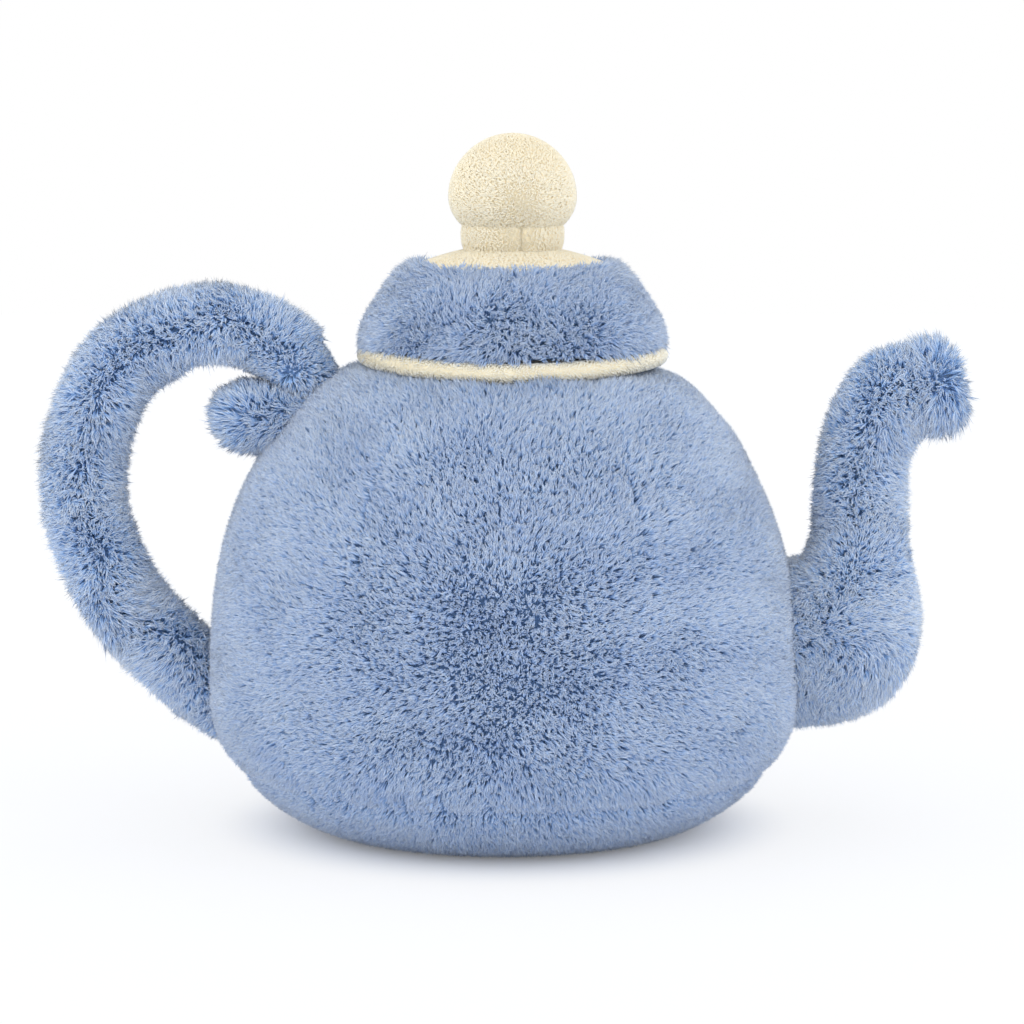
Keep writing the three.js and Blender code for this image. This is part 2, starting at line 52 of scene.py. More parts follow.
# Sizes of the solids, in millimetres
BELLY = (92.2, 43.0)
NECK = (46.0, 141.6)
FOOT = (52.5, 0.0)
SHOULDER_CURVE = (2.4, 1.62)
UNDERSIDE_CURVE = (2.0, 1.48)
NECK_SHIFT = 2.8
LEAN_START = 105.0
BASE_SEAM = 23.0
NECK_SADDLE = 2.6
SADDLE_START = 124.0
GORES = 6
PIPING_RING = 45.2
PIPING_HEIGHT = 145.0
PIPING_RADIUS = 3.1
CORD_RADIUS = 1.7
HEM = (48.2, 148.4)
RIM = (30.0, 177.4)
LID_CURVE = (2.0, 1.4)
DOME_RADIUS = 29.7
DOME_EDGE = 175.8
DOME_RISE = 6.0
KNOB_NECK_RADIUS = 15.5
KNOB_NECK_FOOT = 180.47
KNOB_MOUTH = 187.17
KNOB_RADIUS = 19.9
KNOB_GATHER = 2.2
BEAN_BAG_RADIUS = 46.0
BEAN_BAG_HEIGHT = 15.0

# Stations along the limbs: out from the belly, height, heading in degrees, half width
HANDLE_STATIONS = np.array([
    (-28, 27, 148, 14),
    (-1.2, 42.5, 141, 14.4),
    (15.5, 57.7, 132, 14),
    (29.4, 75, 121, 13.7),
    (38.8, 108.2, 90, 13.6),
    (27.6, 143.2, 47, 13.8),
    (0.4, 156, 0, 14),
    (-24.2, 148.5, -40, 13.8),
    (-37.2, 131, -62, 12.5),
])
SCROLL_STATIONS = np.array([
    (-43, 124.5, 170, 11),
    (-28, 127, 172, 12.8),
    (-13.2, 129.3, 178, 13.4),
])
SPOUT_STATIONS = np.array([
    (-33, 56, 0, 26.5),
    (0, 57.3, 6, 27.3),
    (12.4, 60.9, 27, 27.6),
    (19.1, 69, 47, 25),
    (19.9, 86.5, 73, 18.2),
    (19, 103.5, 88, 15.6),
    (20, 116.7, 81, 15.1),
    (23.8, 127.6, 59, 15.6),
    (31.6, 136, 37, 16.2),
    (48, 138.4, 8, 13.4),
])
HANDLE_DEPTH = 0.92
SPOUT_DEPTH = 0.84
SPOUT_BULGE = 5.0
HANDLE_BULGE = 1.0

# Depth of the pile over its cloth
POT_PILE = 4.4
BASE_PILE = 3.8
LIMB_PILE = 6.6
LIMB_REACH = 6.4
LID_PILE = 5.6
VELOUR = 0.7
PIPING_VELOUR = 0.65

# Thickness of the cloth, and of the thinner one of the piping
CLOTH = 0.7
PIPING_CLOTH = 0.35

# Where the cloth bends at a joint: between which bodies, and from where to where in metres
SPOUT_BEND = dict(bodies=("pot", "spout"), start=(0.090, 0, 0.0575), end=(0.112, 0, 0.0575))
HANDLE_BEND = dict(bodies=("pot", "handle"), start=(-0.0936, 0, 0.0442), end=(-0.1145, 0, 0.0511))
KNOB_BEND = dict(bodies=("pot", "knob"), start=(0.0028, 0, 0.1795), end=(0.0028, 0, 0.1885))


def linear(shown):
    """A display colour of 0 to 255 as the linear colour that nodes take."""
    shown = np.array(shown) / 255
    value = np.where(shown <= 0.04045, shown / 12.92, ((shown + 0.055) / 1.055) ** 2.4)
    return (*value.tolist(), 1.0)


def smoothstep(x, low, high):
    t = np.clip((x - low) / (high - low), 0, 1)
    return t * t * (3 - 2 * t)


def bell(x, width):
    """1 in the middle, falling off smoothly on both sides within about the given width."""
    return np.exp(-((x / width) ** 2))


def unit(vectors):
    return vectors / np.maximum(np.linalg.norm(vectors, axis=-1, keepdims=True), 1e-9)


def waves(points, size, seed, count=7):
    """Smooth vector noise of about -1 to 1, with features of about the given size."""
    rng = np.random.default_rng(seed)
    total = np.zeros((len(points), 3))
    for _ in range(count):
        direction = unit(rng.normal(size=3)) * 2 * math.pi / size * rng.uniform(0.35, 0.75)
        phase = rng.uniform(0, 2 * math.pi, 3)
        total += np.sin((points @ direction)[:, None] + phase)
    return total * math.sqrt(1.2 / count)


# Materials


def put(node, values):
    """Set a node's inputs."""
    for socket, value in values.items():
        node.inputs[socket].default_value = value


def new_material(name, roughness, sheen=0.0):
    material = bpy.data.materials.new(name)
    material.use_nodes = True
    shader = material.node_tree.nodes["Principled BSDF"]
    put(shader, {"Roughness": roughness, "Specular IOR Level": 0.12})
    put(shader, {"Sheen Weight": sheen, "Sheen Roughness": 0.5})
    return material, material.node_tree, shader


def join(tree, *links):
    """Link pairs of an output and an input."""
    for out, into in links:
        tree.links.new(out, into)


def ramp(tree, positions, colours):
    node = tree.nodes.new("ShaderNodeValToRGB")
    first, last = node.color_ramp.elements
    first.position, first.color = positions[0], linear(colours[0])
    last.position, last.color = positions[-1], linear(colours[-1])
    for position, colour in zip(positions[1:-1], colours[1:-1]):
        node.color_ramp.elements.new(position).color = linear(colour)
    return node


# Where the thick middle of a strand lies on the map, between root and tip
RING_LEVEL = 0.7


def pile_material(name, dark, light, sheen):
    """Colours at root, middle and tip along the map's V, from a dark to a light strand along its U; what
    changes along V is painted shade and painted light down the pile.
    """
    material, tree, shader = new_material(name, 0.95, sheen)
    coordinates = tree.nodes.new("ShaderNodeUVMap")
    coordinates.uv_map = "OFBake"
    split = tree.nodes.new("ShaderNodeSeparateXYZ")
    mix = tree.nodes.new("ShaderNodeMix")
    mix.data_type = "RGBA"
    join(
        tree,
        (coordinates.outputs["UV"], split.inputs[0]),
        (split.outputs["X"], mix.inputs["Factor"]),
        (mix.outputs[2], shader.inputs["Base Color"]),
    )
    for colours, socket in ((dark, 6), (light, 7)):
        along = ramp(tree, (0.0, RING_LEVEL, 1.0), colours)
        join(tree, (split.outputs["Y"], along.inputs["Fac"]), (along.outputs["Color"], mix.inputs[socket]))
    return material


def cloth_material(name, dark, light, thread):
    """Knitted backing: mottled colour with a fine weave in the bump."""
    material, tree, shader = new_material(name, 0.9, 0.2)
    place = tree.nodes.new("ShaderNodeTexCoord")
    mottle = tree.nodes.new("ShaderNodeTexNoise")
    put(mottle, {"Scale": 120, "Detail": 5})
    colours = ramp(tree, (0.3, 0.7), (dark, light))
    weave = tree.nodes.new("ShaderNodeTexVoronoi")
    put(weave, {"Scale": 1 / (thread * MM)})
    bump = tree.nodes.new("ShaderNodeBump")
    put(bump, {"Strength": 0.6, "Distance": 0.0003})
    join(
        tree,
        (place.outputs["Object"], mottle.inputs["Vector"]),
        (mottle.outputs["Fac"], colours.inputs["Fac"]),
        (colours.outputs["Color"], shader.inputs["Base Color"]),
        (place.outputs["Object"], weave.inputs["Vector"]),
        (weave.outputs["Distance"], bump.inputs["Height"]),
        (bump.outputs["Normal"], shader.inputs["Normal"]),
    )
    return material


# Short pile: the darker roots are painted shade between the strands, and the paler tips are painted light
BLUE_PILE = pile_material(
    "short_blue_pile",
    ((121, 156, 208), (139, 170, 216), (193, 208, 234)),
    ((141, 176, 224), (168, 196, 233), (231, 237, 246)),
    0.15,
)
# Long pile: the far paler tips are painted light for a pale fringe, and the roots, a little lighter than
# the middle, are painted light that lifts the pits
LONG_PILE = pile_material(
    "long_blue_pile",
    ((148, 187, 236), (134, 173, 225), (228, 239, 254)),
    ((168, 203, 246), (167, 202, 244), (253, 254, 255)),
    0.1,
)
# Piping nap: the slightly darker, yellower roots are painted shade between the strands
PIPING_PILE = pile_material(
    "piping_velour",
    ((254, 236, 194), (255, 248, 226), (255, 251, 238)),
    ((255, 241, 206), (255, 251, 236), (255, 254, 247)),
    0.0,
)
# Cream nap: the darker, yellower roots are painted warm shade in the furrows, and the paler tips are
# painted light
CREAM_PILE = pile_material(
    "cream_velour",
    ((250, 219, 158), (251, 237, 202), (250, 243, 223)),
    ((252, 227, 172), (251, 243, 219), (250, 247, 237)),
    0.0,
)
BLUE_CLOTH = cloth_material("blue_knit_backing", (128, 164, 212), (140, 176, 222), 1.2)
CREAM_CLOTH = cloth_material("cream_knit_backing", (252, 240, 207), (253, 244, 217), 1.0)
FIBRE_FILL = cloth_material("white_fibre_fill", (226, 226, 222), (246, 246, 243), 2.4)
BAG_COTTON = cloth_material("bean_bag_cotton", (198, 190, 172), (224, 217, 201), 0.9)
CORD_COTTON = cloth_material("piping_cord_cotton", (214, 206, 188), (234, 228, 212), 0.6)

# Meshes from arrays


def add_object(name, data):
    made = bpy.data.objects.new(name, data)
    bpy.context.scene.collection.objects.link(made)
    return made


def make_object(name, vertices, corners, sizes, material):
    """An object from vertices in millimetres, face corners in one row, and each face's corner count."""
    mesh = bpy.data.meshes.new(name)
    mesh.vertices.add(len(vertices))
    mesh.vertices.foreach_set("co", (vertices * MM).astype(np.float32).ravel())
    mesh.loops.add(len(corners))
    mesh.loops.foreach_set("vertex_index", corners.astype(np.int32))
    mesh.polygons.add(len(sizes))
    starts = np.concatenate(([0], np.cumsum(sizes)[:-1]))
    mesh.polygons.foreach_set("loop_start", starts.astype(np.int32))
    mesh.update(calc_edges=True)
    mesh.shade_smooth()
    mesh.materials.append(material)
    return add_object(name, mesh)


def quads(rows, columns, wrapped, first=0):
    i, j = np.meshgrid(np.arange(rows - 1), np.arange(columns if wrapped else columns - 1), indexing="ij")
    k = (j + 1) % columns
    faces = np.stack([i * columns + j, i * columns + k, (i + 1) * columns + k, (i + 1) * columns + j], -1)
    return faces.reshape(-1, 4) + first


def panel(name, outer, inner, wrapped, material):
    """A closed sheet of cloth between an outer and an inner grid of points."""
    rows, columns = outer.shape[:2]
    count = rows * columns
    vertices = np.concatenate([outer.reshape(-1, 3), inner.reshape(-1, 3)])
    top = (rows - 1) * columns
    j = np.arange(columns if wrapped else columns - 1)
    k = (j + 1) % columns
    faces = [
        quads(rows, columns, wrapped),
        quads(rows, columns, wrapped, count)[:, ::-1],
        np.stack([k, j, j + count, k + count], 1),
        np.stack([top + j, top + k, top + k + count, top + j + count], 1),
    ]
    if not wrapped:
        left = np.arange(rows - 1) * columns
        right = left + columns - 1
        faces.append(np.stack([left, left + columns, left + columns + count, left + count], 1))
        faces.append(np.stack([right + columns, right, right + count, right + columns + count], 1))
    faces = np.concatenate(faces)
    return make_object(name, vertices, faces.ravel(), np.full(len(faces), 4), material)


def closed_form(name, grid, material):
    """A closed solid from rings of points, drawn together at both ends."""
    rows, columns = grid.shape[:2]
    ends = np.stack([grid[0].mean(0), grid[-1].mean(0)])
    vertices = np.concatenate([grid.reshape(-1, 3), ends])
    j = np.arange(columns)
    k = (j + 1) % columns
    top = (rows - 1) * columns
    first = np.full(columns, rows * columns)
    walls = quads(rows, columns, True)
    caps = np.concatenate([np.stack([first, k, j], 1), np.stack([first + 1, top + j, top + k], 1)])
    corners = np.concatenate([walls.ravel(), caps.ravel()])
    sizes = np.concatenate([np.full(len(walls), 4), np.full(len(caps), 3)])
    return make_object(name, vertices, corners, sizes, material)


def ring_form(name, grid, material):
    """A closed ring from sections of points, one section to a row."""
    rows, columns = grid.shape[:2]
    faces = quads(rows + 1, columns, True) % (rows * columns)
    return make_object(name, grid.reshape(-1, 3), faces.ravel(), np.full(len(faces), 4), material)


def grid_normals(grid, wrapped, sign=1):
    along = np.gradient(grid, axis=0)
    if wrapped:
        around = np.roll(grid, -1, 1) - np.roll(grid, 1, 1)
    else:
        around = np.gradient(grid, axis=1)
    return unit(np.cross(around, along)) * sign


def tie(made, node, bend=None):
    """A piece takes the place of a node, whose part is hidden, and rides on the pot, or is left free in the
    frame when a bend is given.
    """
    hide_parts(node)
    if bend:
        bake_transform(made)
    else:
        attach(made, "pot")


# Forms, as grids of points

# The distance of points that are nowhere near
FAR = 99.0


def full_turn(count):
    """Angles all round, evenly spaced."""
    return np.linspace(0, 2 * math.pi, count + 1)[:-1]


def turned(rows, angles, centre=0.0):
    """A grid that turns rows of radius and height round an upright axis."""
    x = centre + rows[:, :1] * np.cos(angles)
    y = rows[:, :1] * np.sin(angles)
    return np.stack([x, y, np.broadcast_to(rows[:, 1:], x.shape)], -1)


def disc(start, end, height, count=12):
    """Rows of a level disc, from one radius to another."""
    return np.stack([np.linspace(start, end, count), np.full(count, height)], 1)


def sectors(columns, labels, back=0):
    """Equal parts of a closed grid by label, each with both edges."""
    size = columns // len(labels)
    steps = enumerate(labels)
    return {label: np.s_[:, (np.arange(size + 1) + size * step - back) % columns] for step, label in steps}


def quarter_arc(upright, level, curve, angles):
    rise, fullness = curve
    radius = level[0] + (upright[0] - level[0]) * np.clip(np.cos(angles), 0, 1) ** (2 / fullness)
    height = upright[1] + (level[1] - upright[1]) * np.clip(np.sin(angles), 0, 1) ** (2 / rise)
    return np.stack([radius, height], 1)


def resample(line, step):
    """Points along a line of points, about a step apart."""
    reach = np.concatenate(([0], np.cumsum(np.linalg.norm(np.diff(line, axis=0), axis=1))))
    at = np.linspace(0, reach[-1], max(int(round(reach[-1] / step)), 2) + 1)
    return np.stack([np.interp(at, reach, values) for values in line.T], 1)


def offset(profile, distance):
    along = unit(np.gradient(profile, axis=0))
    return profile + distance * np.stack([along[:, 1], -along[:, 0]], 1)


def lean_at(height):
    return NECK_SHIFT * smoothstep(height, LEAN_START, NECK[1])


def saddled(grid):
    """The neck seam sits higher at the sides than at front and back, and what is sewn to it follows."""
    across, deep, height = grid[..., 0] - NECK_SHIFT, grid[..., 1], grid[..., 2]
    side = across**2 / np.maximum(across**2 + deep**2, 1)
    near = smoothstep(height, SADDLE_START, NECK[1]) * (1 - smoothstep(height, HEM[1] + 2, RIM[1] - 4))
    lifted = grid.copy()
    lifted[..., 2] += NECK_SADDLE * side * near
    return lifted


QUARTER = np.linspace(0, math.pi / 2, 200)
UNDERSIDE = quarter_arc(BELLY, FOOT, UNDERSIDE_CURVE, QUARTER[::-1])
SHOULDER = quarter_arc(BELLY, NECK, SHOULDER_CURVE, QUARTER)
POT_PROFILE = resample(np.concatenate([UNDERSIDE, SHOULDER[1:]]), 2.4)
LID_PROFILE = resample(quarter_arc(HEM, RIM, LID_CURVE, QUARTER), 1.5)


def pot_distance(points):
    """How far points lie outside the pot's pile, in millimetres."""
    x, y, z = points.T
    height = np.clip(z, 0, NECK[1])
    radius = np.interp(height, POT_PROFILE[:, 1], POT_PROFILE[:, 0])
    slope = np.interp(height, POT_PROFILE[:, 1], unit(np.gradient(POT_PROFILE, axis=0))[:, 1])
    across = np.hypot(x - lean_at(height), y) - radius
    return np.where(z > NECK[1] + 4, FAR, across * slope)


def lid_distance(points):
    """How far points lie outside the lid's pile and the piping, in millimetres."""
    x, y, z = points.T
    across = np.hypot(x - NECK_SHIFT, y) - np.interp(z, LID_PROFILE[:, 1], LID_PROFILE[:, 0])
    return np.where((z < PIPING_HEIGHT - PIPING_RADIUS) | (z > RIM[1] + 3), FAR, across)


def spline(values, t):
    """The curve that the limbs follow through their stations."""
    last = len(values) - 1
    place = np.clip(t, 0, 1) * last
    index = np.minimum(place.astype(int), last - 1)
    w = (place - index)[:, None]
    before, here = values[np.maximum(index - 1, 0)], values[index]
    after, later = values[index + 1], values[np.minimum(index + 2, last)]
    out, into = (after - before) / 2, (later - here) / 2
    cubic = 2 * here - 2 * after + out + into
    square = -3 * here + 3 * after - 2 * out - into
    return ((cubic * w + square) * w + out) * w + here


# Step along a limb, how far its nap's middle line wanders, and how far out limbs lie
LIMB_STEP = 1.8
LIMB_WANDER = 0.4
LIMBS_FROM = 40

# Tips higher than this are domed, and keep this room for the dome
DOMED_TIP = 2.0
TIP_ROOM = 5.0


class Limb:
    """A stuffed tube in the middle plane, through stations, with an oval section and a domed end."""

    def __init__(self, stations, side, depth, bulge):
        values = stations.astype(float).copy()
        values[:, 0] = side * (BELLY[0] + values[:, 0])
        fine = np.linspace(0, 1, 600)
        path = spline(values, fine)[:, :2]
        reach = np.concatenate(([0], np.cumsum(np.linalg.norm(np.diff(path, axis=0), axis=1))))
        count = int(reach[-1] / LIMB_STEP) + 2
        self.step = reach[-1] / (count - 1)
        self.rows = spline(values, np.interp(np.linspace(0, reach[-1], count), reach, fine))
        self.depth = depth
        self.bulge = bulge

    def grid(self, trim, columns):
        """Rings of points on the limb's surface, trimmed all round."""
        back = max(trim + TIP_ROOM - self.bulge, 0.0) if self.bulge > DOMED_TIP else 0.0
        rows = self.rows[: len(self.rows) - int(round(back / self.step))]
        tip = np.linspace(0, math.pi / 2, 12)[1:-1]
        bulge = max(self.bulge - trim + back, 1.0)
        advance = np.concatenate([np.zeros(len(rows)), bulge * np.sin(tip)])[:, None]
        share = np.concatenate([np.ones(len(rows)), np.cos(tip)])
        rows = np.concatenate([rows, np.repeat(rows[-1:], len(tip), 0)])
        turn = np.radians(rows[:, 2:3])
        half = rows[:, 3]
        angle = 2 * math.pi * (np.arange(columns) + 0.5) / columns
        across = ((half - trim) * share)[:, None] * np.cos(angle)
        deep = ((half * self.depth - trim) * share)[:, None] * np.sin(angle)
        x = rows[:, :1] + advance * np.cos(turn) - across * np.sin(turn)
        z = rows[:, 1:2] + advance * np.sin(turn) + across * np.cos(turn)
        return np.stack([x, deep, z], -1)

    def distance(self, points):
        """How far points lie outside the limb's pile, in millimetres."""
        found = np.full(len(points), FAR)
        near = np.abs(points[:, 0]) > LIMBS_FROM
        flat = points[near] * (1, 1 / self.depth, 1)
        best = np.full(len(flat), FAR)
        for x, z, _, half in self.rows[::2]:
            np.minimum(best, np.linalg.norm(flat - (x, 0, z), axis=1) - half, out=best)
        found[near] = best
        return found

    def outward(self, points):
        """The way from a line that wanders about the limb's middle to its cloth, in the cloth's radii."""
        nearest = np.full(len(points), 1e9)
        out = np.zeros((len(points), 3))
        for x, z, _, half in self.rows[::2]:
            away = points - (x, 0, z)
            reach = np.linalg.norm(away, axis=1)
            closer = reach < nearest
            nearest[closer] = reach[closer]
            out[closer] = away[closer] * (1, 0, 1) / (half - LIMB_PILE)
        return out + LIMB_WANDER * waves(points, 24, 31) * (1, 0, 1)


ARCH = Limb(HANDLE_STATIONS, -1, HANDLE_DEPTH, HANDLE_BULGE)
SCROLL = Limb(SCROLL_STATIONS, -1, HANDLE_DEPTH, SCROLL_STATIONS[-1, 3])
SPOUT = Limb(SPOUT_STATIONS, 1, SPOUT_DEPTH, SPOUT_BULGE)

# Pile

# Tufts to a square millimetre, strands to a tuft, width and spread in millimetres, the rest in lengths
Fur = namedtuple("Fur", "tufts strands width spread gather flow stray rise uneven")
SHORT_FUR = Fur(1.5, 4, 0.52, 0.5, gather=0.42, flow=0.13, stray=0.2, rise=0.55, uneven=0.08)
LONG_FUR = Fur(1.9, 4, 0.5, 0.58, gather=0.45, flow=0.22, stray=0.22, rise=0.55, uneven=0.1)
VELOUR_FUR = Fur(3.3, 4, 0.45, 0.36, gather=0.75, flow=0.06, stray=0.15, rise=0.5, uneven=0.04)
PIPING_FUR = Fur(3.95, 2, 0.37, 0.2, gather=0.5, flow=0.15, stray=0.2, rise=0.5, uneven=0.05)


def spots(grid, normals, wrapped, density, rng):
    """Even but irregular spots on a grid: their places and normals."""
    if wrapped:
        grid, normals = (np.concatenate([part, part[:, :1]], 1) for part in (grid, normals))
    here, after = grid[:, :-1], grid[:, 1:]
    first = np.linalg.norm(np.cross(after[1:] - here[:-1], here[1:] - after[:-1]), axis=-1) / 2
    area = np.cumsum(first.ravel())
    count = int(area[-1] * density)
    at = (np.arange(count) + rng.random(count)) / count * area[-1]
    cell = np.minimum(np.searchsorted(area, at), len(area) - 1)
    order = np.arange(count)[:, None]
    u = (order * 0.7548776662 + 0.1 * rng.random((count, 1))) % 1
    v = (order * 0.5698402910 + 0.1 * rng.random((count, 1))) % 1

    def between(part):
        a, b = part[:, :-1], part[:, 1:]
        flat = [corner.reshape(-1, 3)[cell] for corner in (a[:-1], b[:-1], b[1:], a[1:])]
        return (flat[0] * (1 - u) + flat[1] * u) * (1 - v) + (flat[3] * (1 - u) + flat[2] * u) * v

    return between(grid), unit(between(normals))


# What the middle of a strand takes from root, knee and tip, and how its width varies
RING_SHARES = (0.09, 0.42, 0.49)
WIDTH_SPREAD = 0.2

# How far a strand's normals turn to the cloth's, and where that ends
SOFTNESS = 1.0
LIFT_END = 0.42

# The first strand of a tuft is longer and finer, and painted lighter: painted light for a pale haze along
# the outlines
FINE_REACH = 0.13
FINE_TAPER = 0.45
FINE_PAINTED_LIGHT = 0.3

# Shade between dark and light: in the middle, from one to the next, and from place to place
SHADE = 0.48
SHADE_SPREAD = 0.2
SHADE_DRIFT = 0.1

# Strands of a tuft differ less than tufts do
STRAND_STRAY = 0.4
STRAND_UNEVEN = 0.5

# No strand comes nearer to the floor
FLOOR_GAP = 0.2


def from_centre(places, centre):
    """The way from a centre to places, as seen from the side."""
    return places * (1, 0, 1) - centre


def round_axis(places, centre=0.0):
    """The way round an upright axis."""
    x, y, _ = places.T
    return unit(np.stack([-y, x - centre, np.zeros(len(x))], 1))


def fan(out, reach, lean):
    """A lean along the way out from a middle, growing up to the given reach."""
    return out * lean / np.maximum(np.linalg.norm(out, axis=1, keepdims=True), reach)


def pile(name, grid, wrapped, sign, fur, depth, material, seed, keep=None, comb=None, trim=None):
    """Pile on a grid of points: closed strands that stand up, thicken, and bend over towards a fine tip."""
    rng = np.random.default_rng(seed)
    places, normals = spots(grid, grid_normals(grid, wrapped, sign), wrapped, fur.tufts, rng)
    if keep is not None:
        kept = keep(places, normals)
        places, normals = places[kept], normals[kept]
    count = len(places)
    lean = fur.flow * waves(places, 15, 11, 15) + fur.stray * rng.normal(size=(count, 3))
    if comb is not None:
        lean += comb(places, normals)
    length = depth * (1 + fur.uneven - fur.uneven * np.abs(rng.normal(size=(count, 1))))
    if trim is not None:
        length *= trim(places)[:, None]
    shade = SHADE + SHADE_SPREAD * rng.normal(size=count) + SHADE_DRIFT * waves(places, 16, 14)[:, 0]

    # The strands of a tuft start apart and draw together towards one tip
    strands = fur.strands
    total = count * strands
    tufts = (places, normals, lean, length)
    places, normals, lean, length = (np.repeat(part, strands, 0) for part in tufts)
    side = unit(np.cross(normals, rng.normal(size=(total, 3))))
    start = places + side * fur.spread * np.sqrt(rng.random((total, 1)))
    lean = lean + STRAND_STRAY * fur.stray * rng.normal(size=(total, 3))
    lean -= normals * np.sum(lean * normals, 1, keepdims=True)
    length = length * (1 - STRAND_UNEVEN * fur.uneven * np.abs(rng.normal(size=(total, 1))))
    fine = (np.arange(total) % strands == 0)[:, None]
    length = length * (1 + FINE_REACH * fine)
    tip = places + fur.gather * (start - places) + (normals + lean) * length
    knee = start + normals * length * fur.rise
    middle = RING_SHARES[0] * start + RING_SHARES[1] * knee + RING_SHARES[2] * tip
    # Fine strands are painted lighter, as painted light at the fringe
    shade = np.repeat(shade, strands) + FINE_PAINTED_LIGHT * fine[:, 0]
    shade = np.clip(shade + SHADE_SPREAD * rng.normal(size=total), 0.01, 0.99)

    # Three corners round the middle of each strand
    high = unit(tip - middle)
    axis = unit(unit(middle - start) + high)
    first = unit(np.cross(axis, side))
    second = np.cross(axis, first)
    half = 0.5 * fur.width * (1 + WIDTH_SPREAD * rng.normal(size=(total, 1))) * (1 - FINE_TAPER * fine)
    thirds = (0, 2 * math.pi / 3, 4 * math.pi / 3)
    outs = [first * math.cos(turn) + second * math.sin(turn) for turn in thirds]
    vertices = np.stack([start, *(middle + half * out for out in outs), tip], 1).reshape(-1, 3)
    vertices[:, 2] = np.maximum(vertices[:, 2], FLOOR_GAP)

    # Normals lean from each strand's own side towards the cloth's, as light does that passes between fibres
    tilt = np.linalg.norm(np.cross(normals, high), axis=1, keepdims=True)
    lift = normals * np.minimum(SOFTNESS, LIFT_END / np.maximum(tilt, 0.05))
    rounded = [unit(lift + out) for out in outs]
    leaf, shading, map_u, map_v = [], [], [], []
    sliver = 0.004
    for i, j, k in ((0, 1, 2), (1, 2, 0), (2, 0, 1)):
        face = -outs[k]
        leaf += [1 + i, 1 + j, 4, 1 + j, 1 + i, 0]
        shading += [rounded[i], rounded[j], unit(lift + 0.6 * face + 0.3 * high)]
        shading += [rounded[j], rounded[i], unit(face + 0.3 * normals)]
        map_u += [-sliver, sliver, 0, sliver, -sliver, 0]
        map_v += [RING_LEVEL, RING_LEVEL, 1.0, RING_LEVEL, RING_LEVEL, 0.0]
    corners = (np.array(leaf) + 5 * np.arange(total)[:, None]).ravel()
    made = make_object(name, vertices, corners, np.full(6 * total, 3), material)
    lit = made.data.attributes.new("custom_normal", "FLOAT_VECTOR", "CORNER")
    lit.data.foreach_set("vector", np.stack(shading, 1).astype(np.float32).ravel())
    layer = made.data.uv_layers.new(name="OFBake", do_init=False)
    u = np.clip(shade[:, None] + np.array(map_u), 0.002, 0.998)
    v = np.broadcast_to(np.clip(np.array(map_v), 0.004, 0.996), u.shape)
    layer.uv.foreach_set("vector", np.stack([u, v], -1).astype(np.float32).ravel())
    return made


def plush(node, outer, inner, wrapped, parts, fur, depth, seed, keep, comb, trim):
    """A blue panel: its cloth, and its pile in labelled parts of the outer grid."""
    tie(panel(node + "_cloth", outer, inner, wrapped, BLUE_CLOTH), node)
    for step, (label, part) in enumerate(parts.items()):
        name = f"{node}_pile_{label}"
        made = pile(name, outer[part], False, 1, fur, depth, BLUE_PILE, seed + step, keep, comb, trim)
        tie(made, node)


# Pot

GORE_SIDES = (
    "back_spout_side", "back", "back_handle_side", "front_handle_side", "front", "front_spout_side",
)
GORE_SPAN = 2 * math.pi / GORES
PILE_BANDS = {"lower": (0, 56.0), "middle": (56.0, 92.0), "upper": (92.0, NECK[1])}
LUMPS = 0.5

# Upright seams draw the cloth in, part the pile and cut it short, and fade towards the neck
SEAM_DIP = 1.1
SEAM_WIDTH = 4.5
SEAM_LEAN = 0.3
SEAM_CUT = 0.14
SEAM_FADES = (122, 134)

# The base seam, which pile hangs over, and its tucks
HEM_DIP = 1.5
HEM_WIDTH = 2.2
HEM_HANG = 0.25
HEM_CUT = 0.4
TUCKS = 26
TUCK_LEAN = 0.4
TUCK_CUT = 0.3
TUCK_REACH = 5.0

# The pile lies away from the middle of front and back, more so low down
NAP_CENTRE = (0, 0, 60.0)
NAP_REACH = 52.0
NAP_LEAN = 0.44
NAP_LOW = (12, 44)

# Pile is this much longer on the handle's shoulder and shorter on the spout's
SHOULDER_SLANT = 0.3


def from_seam(points):
    """Distance round the pot to the nearest upright seam, in millimetres, with its side as the sign."""
    x, y, z = points.T
    across = x - lean_at(z)
    angle = np.arctan2(y, across) % GORE_SPAN
    angle = np.where(angle > GORE_SPAN / 2, angle - GORE_SPAN, angle)
    return angle * np.hypot(across, y)


def seam_depth(angles, rows):
    """How far the seams draw the cloth in: the upright ones most near the neck, the base seam all round."""
    height = rows[:, 1:]
    off = np.abs((angles + GORE_SPAN / 2) % GORE_SPAN - GORE_SPAN / 2)[None, :] * rows[:, :1]
    strength = 0.35 + 0.65 * smoothstep(height, 55, 115)
    strength = strength * (1 - 0.8 * smoothstep(height, 124, 136))
    upright = SEAM_DIP * strength * bell(off, SEAM_WIDTH)
    hem = HEM_DIP * bell(height - BASE_SEAM, HEM_WIDTH) * np.ones_like(off)
    return np.maximum(upright, hem)


def pot_grid(rows, angles):
    """The pot's cloth: it leans, is drawn in at the seams, has shallow lumps, and sags at the neck."""
    height = rows[:, 1:]
    radius = rows[:, :1] - seam_depth(angles, rows)
    x = lean_at(height) + radius * np.cos(angles)
    grid = np.stack([x, radius * np.sin(angles), np.broadcast_to(height, radius.shape)], -1)
    lumps = waves(grid.reshape(-1, 3), 46, 21)[:, 0].reshape(radius.shape)
    soft = smoothstep(height, 8, 40) * (1 - smoothstep(height, 118, 136))
    return saddled(grid + (LUMPS * lumps * soft)[..., None] * grid_normals(grid, False))


def clear_of_limbs(places, normals):
    middle = places + normals * POT_PILE / 2
    return np.minimum.reduce([limb.distance(middle) for limb in (SPOUT, ARCH, SCROLL)]) > -4.5


tuck_angles = np.sort(np.random.default_rng(23).uniform(0, 2 * math.pi, TUCKS))


